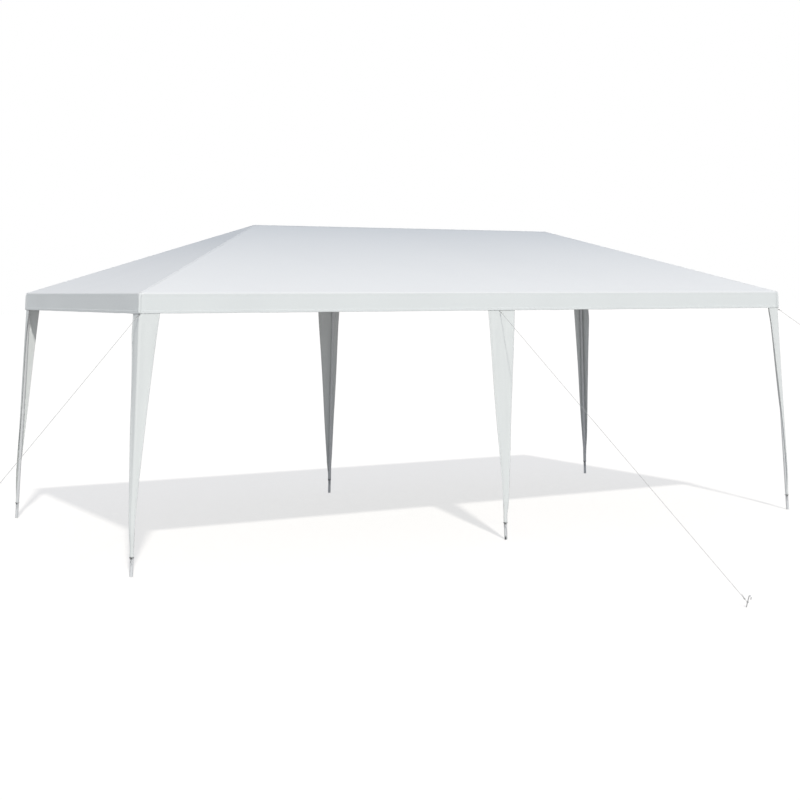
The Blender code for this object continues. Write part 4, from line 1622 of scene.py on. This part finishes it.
class GAZEBO_OT_tubes(bpy.types.Operator):
    """Makes the painted steel tubes, plugged together in the middle where they are long."""

    bl_idname = "gazebo.tubes"
    bl_label = "Frame tubes"

    # How far a tube's ends are rounded, and how deep a leg's open end is and how much it narrows
    EDGE = 0.0006
    MOUTH = (0.012, 0.0005)
    # A plugged joint, as (distance from the tube's middle, radius lost), with None at the swage
    PLUG = (
        (-0.0400, 0.0), (-0.0012, 0.0), (-0.0003, 0.0004), (0.0, None),
        (0.0020, None), (0.0060, 0.0002), (0.0090, 0.0), (0.0400, 0.0),
    )
    # The sprung button: its distance from the joint, its sides, and its section as (height, radius)
    BUTTON_BACK = 0.022
    BUTTON_SIDES = 16
    BUTTON = ((-0.001, 0.0034), (0.0006, 0.0034), (0.0014, 0.0029), (0.0021, 0.0018), (0.0024, 0.0006))
    # Points of a leg up to the first height are moved to the second one
    FOOT_END = 0.002
    FOOT_LEVEL = 0.0002

    def execute(self, context):
        settings = context.scene.gazebo
        paint = finished(powder_coat, settings)
        for name in tube_names():
            pile = Pile()
            start, end = tube_line(name)
            way = unit(end - start)
            length = float(np.linalg.norm(end - start))
            profile = self.profile(settings.frame, length, name.startswith("leg_"))
            pile.turned(start, way, profile, settings.frame.sides)
            if length > settings.frame.long_tube:
                centre = start + way * (length / 2 - self.BUTTON_BACK)
                out = inner_way(centre, way)
                pile.turned(centre + out * TUBE_RADIUS, out, self.BUTTON, self.BUTTON_SIDES)
            piece = pile.piece(name + "_tube", paint, "frame_paint", sharp=40)
            if name.startswith("leg_"):
                self.level_foot(piece)
            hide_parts(name)
        return {"FINISHED"}

    def profile(self, settings, length, is_leg):
        """Stops along the tube as (distance, radius), with the groove of a plugged joint."""
        radius = TUBE_RADIUS
        stops = [(0.0, radius - self.EDGE), (self.EDGE, radius)]
        if is_leg:
            depth, narrow = self.MOUTH
            bore = radius - settings.wall
            stops = [(depth, bore - narrow), (0.0, bore), (0.0, radius)]
        if length > settings.long_tube:
            for gone, lost in self.PLUG:
                slim = settings.swage_depth if lost is None else lost
                stops.append((length / 2 + gone, radius - slim))
        return stops + [(length - self.EDGE, radius), (length, radius - self.EDGE)]

    def level_foot(self, piece):
        """Makes the splayed leg's lower end level with the ground."""
        for vertex in piece.data.vertices:
            if vertex.co.z <= self.FOOT_END:
                vertex.co.z = self.FOOT_LEVEL


def tube_names():
    starts = ("leg_", "eave_tube_", "end_eave_tube_", "hip_rafter_", "middle_rafter_", "ridge_tube_")
    return [name for name in sorted(frame["nodes"]) if name.startswith(starts) and "drape" not in name]


def inner_way(centre, way):
    """The direction square to a tube that points to the middle of the space under the roof."""
    inward = np.array([0.0, CENTRE_Y, MIDDLE_HEIGHT]) - centre
    return unit(inward - (inward @ way) * way)


class GAZEBO_OT_joints(bpy.types.Operator):
    """Gives the moulded joints their plastic, mouth rims, ribs and screws."""

    bl_idname = "gazebo.joints"
    bl_label = "Joints"

    # Radii of the rims: where they meet the sleeve, outside and inside
    SUNK = SLEEVE_RADIUS - 0.0004
    OUTER = SLEEVE_RADIUS + 0.0008
    INNER = TUBE_RADIUS + 0.0003
    # Sections as (distance beyond the mouth, radius)
    RIM = (
        (-0.0075, SUNK), (-0.0066, OUTER - 0.0002), (-0.0060, OUTER), (-0.0008, OUTER),
        (0.0002, OUTER - 0.0003), (0.0006, OUTER - 0.0010), (0.0006, INNER), (-0.0010, INNER),
    )
    RIB = ((0.0, SUNK), (0.0008, OUTER - 0.0002), (0.0022, OUTER - 0.0002), (0.0030, SUNK))
    RIB_PLACES = (-0.0150, -0.0215)
    RIM_SIDES = 32
    # The screws: their distance behind the mouth, their sides, and their heads as (height, radius)
    SCREW_BACK = 0.032
    SCREW_SIDES = 20
    SCREW = (
        (-0.0010, 0.0036), (0.0004, 0.0037), (0.0014, 0.0034), (0.0021, 0.0024),
        (0.0023, 0.0016), (0.0012, 0.0012), (0.0010, 0.0004),
    )
    # Tube ends below this height are feet, and sit in no joint
    FEET = 0.5

    def execute(self, context):
        settings = context.scene.gazebo
        plastic = finished(moulded_plastic, settings)
        zinc = finished(zinc_plate, settings)
        joints = [name for name in frame["nodes"] if "_joint_" in name]
        rims = {name: Pile() for name in joints}
        screws = {name: Pile() for name in joints}
        middles = {name: node_points(name).mean(axis=0) for name in joints}
        for tube in tube_names():
            ends = tube_line(tube)
            for here, there in (ends, ends[::-1]):
                if here[2] < self.FEET:
                    continue
                way = unit(there - here)
                joint = min(joints, key=lambda name: float(np.linalg.norm(middles[name] - here)))
                depth = settings.frame.socket_depth
                self.rim(rims[joint], here + way * depth, way)
                self.screw(screws[joint], here + way * (depth - self.SCREW_BACK), way)
        for name in joints:
            dress(frame["nodes"][name], plastic)
            rims[name].piece(name + "_rims", plastic, "joint_plastic", sharp=50)
            screws[name].piece(name + "_screws", zinc, "peg_wire", sharp=50)
        return {"FINISHED"}

    def rim(self, pile, mouth, way):
        """The thick rim at a sleeve's mouth, and two ribs behind it."""
        pile.turned(mouth, way, self.RIM, self.RIM_SIDES, closed=True)
        for back in self.RIB_PLACES:
            rib = [(back + gone, radius) for gone, radius in self.RIB]
            pile.turned(mouth, way, rib, self.RIM_SIDES, closed=True)

    def screw(self, pile, centre, way):
        """A pan-head screw through the sleeve, on its inner side."""
        out = inner_way(centre, way)
        pile.turned(centre + out * SLEEVE_RADIUS, out, self.SCREW, self.SCREW_SIDES)


def dress(node, finish):
    """Puts a material on all of a carried-over piece."""
    node.data.materials.clear()
    node.data.materials.append(finish)


class GAZEBO_OT_ropes(bpy.types.Operator):
    """Ties the three guy ropes to the front legs and the pegs, with knots and eyelets."""

    bl_idname = "gazebo.ropes"
    bl_label = "Guy ropes"

    STRANDS = 3
    SIDES = 12
    # Turns round a leg or a peg, their rise as a multiple of the rope's radius, and the peg's loop
    WRAPS = 2.0
    WRAP_RISE = 2.15
    PEG_LOOP = 0.0049
    # How far the straight run keeps from its ends
    RUN_INSET = 0.004
    # The binding knots: their turns, these turns' radius and rise as multiples of the rope's
    # radius, their distance from the rope's ends, and their tails' length and steps
    BINDS = 4.0
    BIND_RADIUS = 2.05
    BIND_RISE = 2.1
    BIND_STEPS = 16
    KNOT_BACK = 0.030
    TAIL = 0.028
    TAIL_STEPS = 6
    # An eyelet's rolled rim is this wide, and has this many sides
    RIM = 0.0042
    RIM_SIDES = 28
    # Its place is sought this far beside the leg's middle and below the rope's height
    SEEK = (0.12, 0.06)
    # Half the distance between the points that give the cloth's direction there
    NEAR = 0.004

    def execute(self, context):
        settings = context.scene.gazebo
        fibre = finished(twisted_fibre, settings)
        zinc = finished(zinc_plate, settings)
        for name in ROPED_LEGS:
            line = GuyLine(name, settings)
            rope = self.rope(line, settings).piece("guy_rope_" + name + "_line", fibre, "rope")
            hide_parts("guy_rope_" + name)
            self.knots(line, settings).piece("guy_rope_" + name + "_knots", fibre, "rope")
            self.eyelet(name, line, settings).piece("eyelet_" + name, zinc, "peg_wire", sharp=50)
            dress(frame["nodes"]["peg_" + name], zinc)
        return {"FINISHED"}

    def twist(self, pile, path, ropes, radius):
        """Rope along a path, with its strands wound round each other."""
        lay = self.STRANDS * ropes.lay
        path = even_path(path, ropes.step)
        pile.along(path, radius, self.SIDES, self.STRANDS, lay, ropes.groove)

    def rope(self, line, settings):
        """One rope: wound on the leg, straight to the peg, and wound on its shank."""
        radius = settings.ropes.radius
        rise = self.WRAP_RISE * radius
        inset = self.RUN_INSET * line.way
        start = wound(line.leg_centre, line.leg_axis, line.outward, line.loop, rise, self.WRAPS)
        end = wound(line.peg_centre, line.shank, -line.outward, self.PEG_LOOP, rise, self.WRAPS)
        path = [*start, line.leg_knot + inset, line.peg_knot - inset, *end]
        pile = Pile()
        self.twist(pile, path, settings.ropes, radius)
        return pile

    def knots(self, line, settings):
        """The turns that bind the rope back on itself near both ends, each with a short tail."""
        pile = Pile()
        radius = settings.ropes.radius
        length = float(np.linalg.norm(line.peg_knot - line.leg_knot))
        up = np.array([0.0, 0.0, 1.0])
        for gone, away in ((self.KNOT_BACK, 1), (length - self.KNOT_BACK, -1)):
            centre = line.leg_knot + line.way * gone
            bind, rise = self.BIND_RADIUS * radius, self.BIND_RISE * radius
            turns = wound(centre, line.way, up, bind, rise, self.BINDS, self.BIND_STEPS)[::away]
            tail_way = unit(away * line.way + 0.25 * up)
            steps = range(1, self.TAIL_STEPS + 1)
            tail = [turns[-1] + tail_way * (self.TAIL * step / self.TAIL_STEPS) for step in steps]
            self.twist(pile, [*turns, *tail], settings.ropes, 0.9 * radius)
        return pile

    def eyelet(self, name, line, settings):
        """A rolled metal eyelet in the drape, round the rope."""
        drape = Drape(name, settings)
        beside, below = self.SEEK
        height = settings.drapes.rope_height
        spots = np.linspace(-beside, beside, 121)
        levels = np.linspace(height - below, height, 25)
        places = [(spot, level) for spot in spots for level in levels]
        spot, level = min(places, key=lambda place: self.miss(drape.point(*place), line))
        across = drape.point(spot + self.NEAR, level) - drape.point(spot - self.NEAR, level)
        upright = drape.point(spot, level + self.NEAR) - drape.point(spot, level - self.NEAR)
        way = unit(np.cross(across, upright))
        if way @ line.way < 0:
            way = -way
        hole = settings.ropes.eyelet
        outer = hole + self.RIM
        section = [
            (0.0004, outer), (0.0012, outer - 0.0008), (0.0016, blend(hole, outer, 0.5)),
            (0.0013, hole + 0.0004), (0.0002, hole), (-0.0012, hole + 0.0004),
            (-0.0013, blend(hole, outer, 0.6)), (-0.0004, outer),
        ]
        pile = Pile()
        pile.turned(drape.point(spot, level), way, section, self.RIM_SIDES, closed=True)
        return pile

    def miss(self, point, line):
        """How far a point is from the rope's straight run."""
        gap = point - line.leg_knot
        return float(np.linalg.norm(gap - (gap @ line.way) * line.way))


class GAZEBO_OT_stage(bpy.types.Operator):
    """Sets the camera, the sun, the sky's light and the plain pale floor."""

    bl_idname = "gazebo.stage"
    bl_label = "Stage"

    # The camera, fitted to the photo: its place, its turns in radians and its lens in millimetres
    CAMERA_PLACE = (-6.21615, -9.29083, 1.92898)
    CAMERA_YAW = 0.51562
    CAMERA_PITCH = -0.074506
    CAMERA_ROLL = -0.0021568
    CAMERA_LENS = 64.738
    SENSOR = 36.0
    VIEW_END = 400.0
    # The direction to the sun
    SUN_WAY = (-0.207, -0.676, 0.707)
    # The sky's light reaches its zenith tint at this share of the way up
    ZENITH = 0.9

    def execute(self, context):
        scene = context.scene
        stage = scene.gazebo.stage
        scene.view_settings.view_transform = "Standard"
        scene.view_settings.look = "None"
        self.camera(scene)
        self.sun(scene, stage)
        self.sky(scene, stage)
        self.floor(scene, stage)
        return {"FINISHED"}

    def camera(self, scene):
        yaw, pitch, roll = self.CAMERA_YAW, self.CAMERA_PITCH, self.CAMERA_ROLL
        run = math.cos(pitch)
        forward = Vector((math.sin(yaw) * run, math.cos(yaw) * run, math.sin(pitch)))
        level = Vector((math.cos(yaw), -math.sin(yaw), 0.0))
        upright = level.cross(forward)
        right = math.cos(roll) * level + math.sin(roll) * upright
        up = math.cos(roll) * upright - math.sin(roll) * level
        data = bpy.data.cameras.new("camera")
        data.lens = self.CAMERA_LENS
        data.sensor_width = self.SENSOR
        data.clip_end = self.VIEW_END
        camera = bpy.data.objects.new("camera", data)
        turn = Matrix((right, up, -forward)).transposed().to_4x4()
        camera.matrix_world = Matrix.Translation(self.CAMERA_PLACE) @ turn
        scene.collection.objects.link(camera)
        scene.camera = camera

    def sun(self, scene, stage):
        data = bpy.data.lights.new("sun", "SUN")
        data.energy = stage.sun_strength
        data.color = stage.sun_tint
        data.angle = stage.sun_angle
        lamp = bpy.data.objects.new("sun", data)
        lamp.rotation_mode = "QUATERNION"
        lamp.rotation_quaternion = Vector(self.SUN_WAY).to_track_quat("Z", "Y")
        scene.collection.objects.link(lamp)

    def sky(self, scene, stage):
        """A soft grey sky for light, and plain white where the camera sees past the floor."""
        world = bpy.data.worlds.new("sky")
        scene.world = world
        sky = Finish(world, "Background")
        spot = sky.node("ShaderNodeTexCoord", output="Generated")
        height = sky.node("ShaderNodeSeparateXYZ", inputs={0: spot}).other("Z")
        horizon, zenith = colour(stage.horizon_tint), colour(stage.zenith_tint)
        light = sky.tint(horizon, zenith, height.share(0.0, self.ZENITH))
        seen = sky.node("ShaderNodeLightPath", output="Is Camera Ray")
        sky.surface(Color=sky.tint(light, (1.0, 1.0, 1.0, 1.0), seen))

    def floor(self, scene, stage):
        """A plain pale floor, which the camera sees a little brighter than it is lit."""
        half = stage.floor_size
        corners = [(x * half, y * half, 0.0) for x, y in SQUARE]
        mesh = bpy.data.meshes.new("floor")
        mesh.from_pydata(corners, [], [(0, 1, 2, 3)])
        floor = bpy.data.objects.new("floor", mesh)
        scene.collection.objects.link(floor)
        floor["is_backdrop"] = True
        finish = new_finish("pale_floor")
        dull = finish.node("ShaderNodeBsdfDiffuse", inputs={"Color": colour(stage.floor_tint)})
        seen = finish.node("ShaderNodeLightPath", output="Is Camera Ray")
        glowing = {"Color": colour(stage.floor_glow), "Strength": seen}
        glow = finish.node("ShaderNodeEmission", inputs=glowing)
        both = finish.node("ShaderNodeAddShader", inputs={0: dull, 1: glow})
        finish.put(finish.tree.nodes["Material Output"].inputs["Surface"], both)
        finish.tree.nodes.remove(finish.shader)
        mesh.materials.append(finish.owner)


class GAZEBO_PT_sidebar(bpy.types.Panel):
    """Lists the gazebo's pieces in the 3D view's sidebar."""

    bl_idname = "GAZEBO_PT_sidebar"
    bl_label = "Garden gazebo"
    bl_space_type = "VIEW_3D"
    bl_region_type = "UI"
    bl_category = "Gazebo"

    def draw(self, context):
        for operator in OPERATORS:
            self.layout.operator(operator.bl_idname)


OPERATORS = (
    GAZEBO_OT_canopy,
    GAZEBO_OT_seams,
    GAZEBO_OT_drapes,
    GAZEBO_OT_ties,
    GAZEBO_OT_tubes,
    GAZEBO_OT_joints,
    GAZEBO_OT_ropes,
    GAZEBO_OT_stage,
)
CLASSES = (
    GazeboCanopySettings,
    GazeboDrapeSettings,
    GazeboFrameSettings,
    GazeboRopeSettings,
    GazeboStageSettings,
    GazeboSettings,
    *OPERATORS,
    GAZEBO_PT_sidebar,
)


def register():
    for group in CLASSES:
        bpy.utils.register_class(group)
    bpy.types.Scene.gazebo = PointerProperty(type=GazeboSettings)


def unregister():
    del bpy.types.Scene.gazebo
    for group in reversed(CLASSES):
        bpy.utils.unregister_class(group)


def main():
    register()
    for operator in OPERATORS:
        group, name = operator.bl_idname.split(".")
        getattr(getattr(bpy.ops, group), name)()
    boxes = {"cad": CAD_BOX, "visual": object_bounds()}
    {name: [list(corner) for corner in box] for name, box in boxes.items()}


if __name__ == "__main__":
    main()
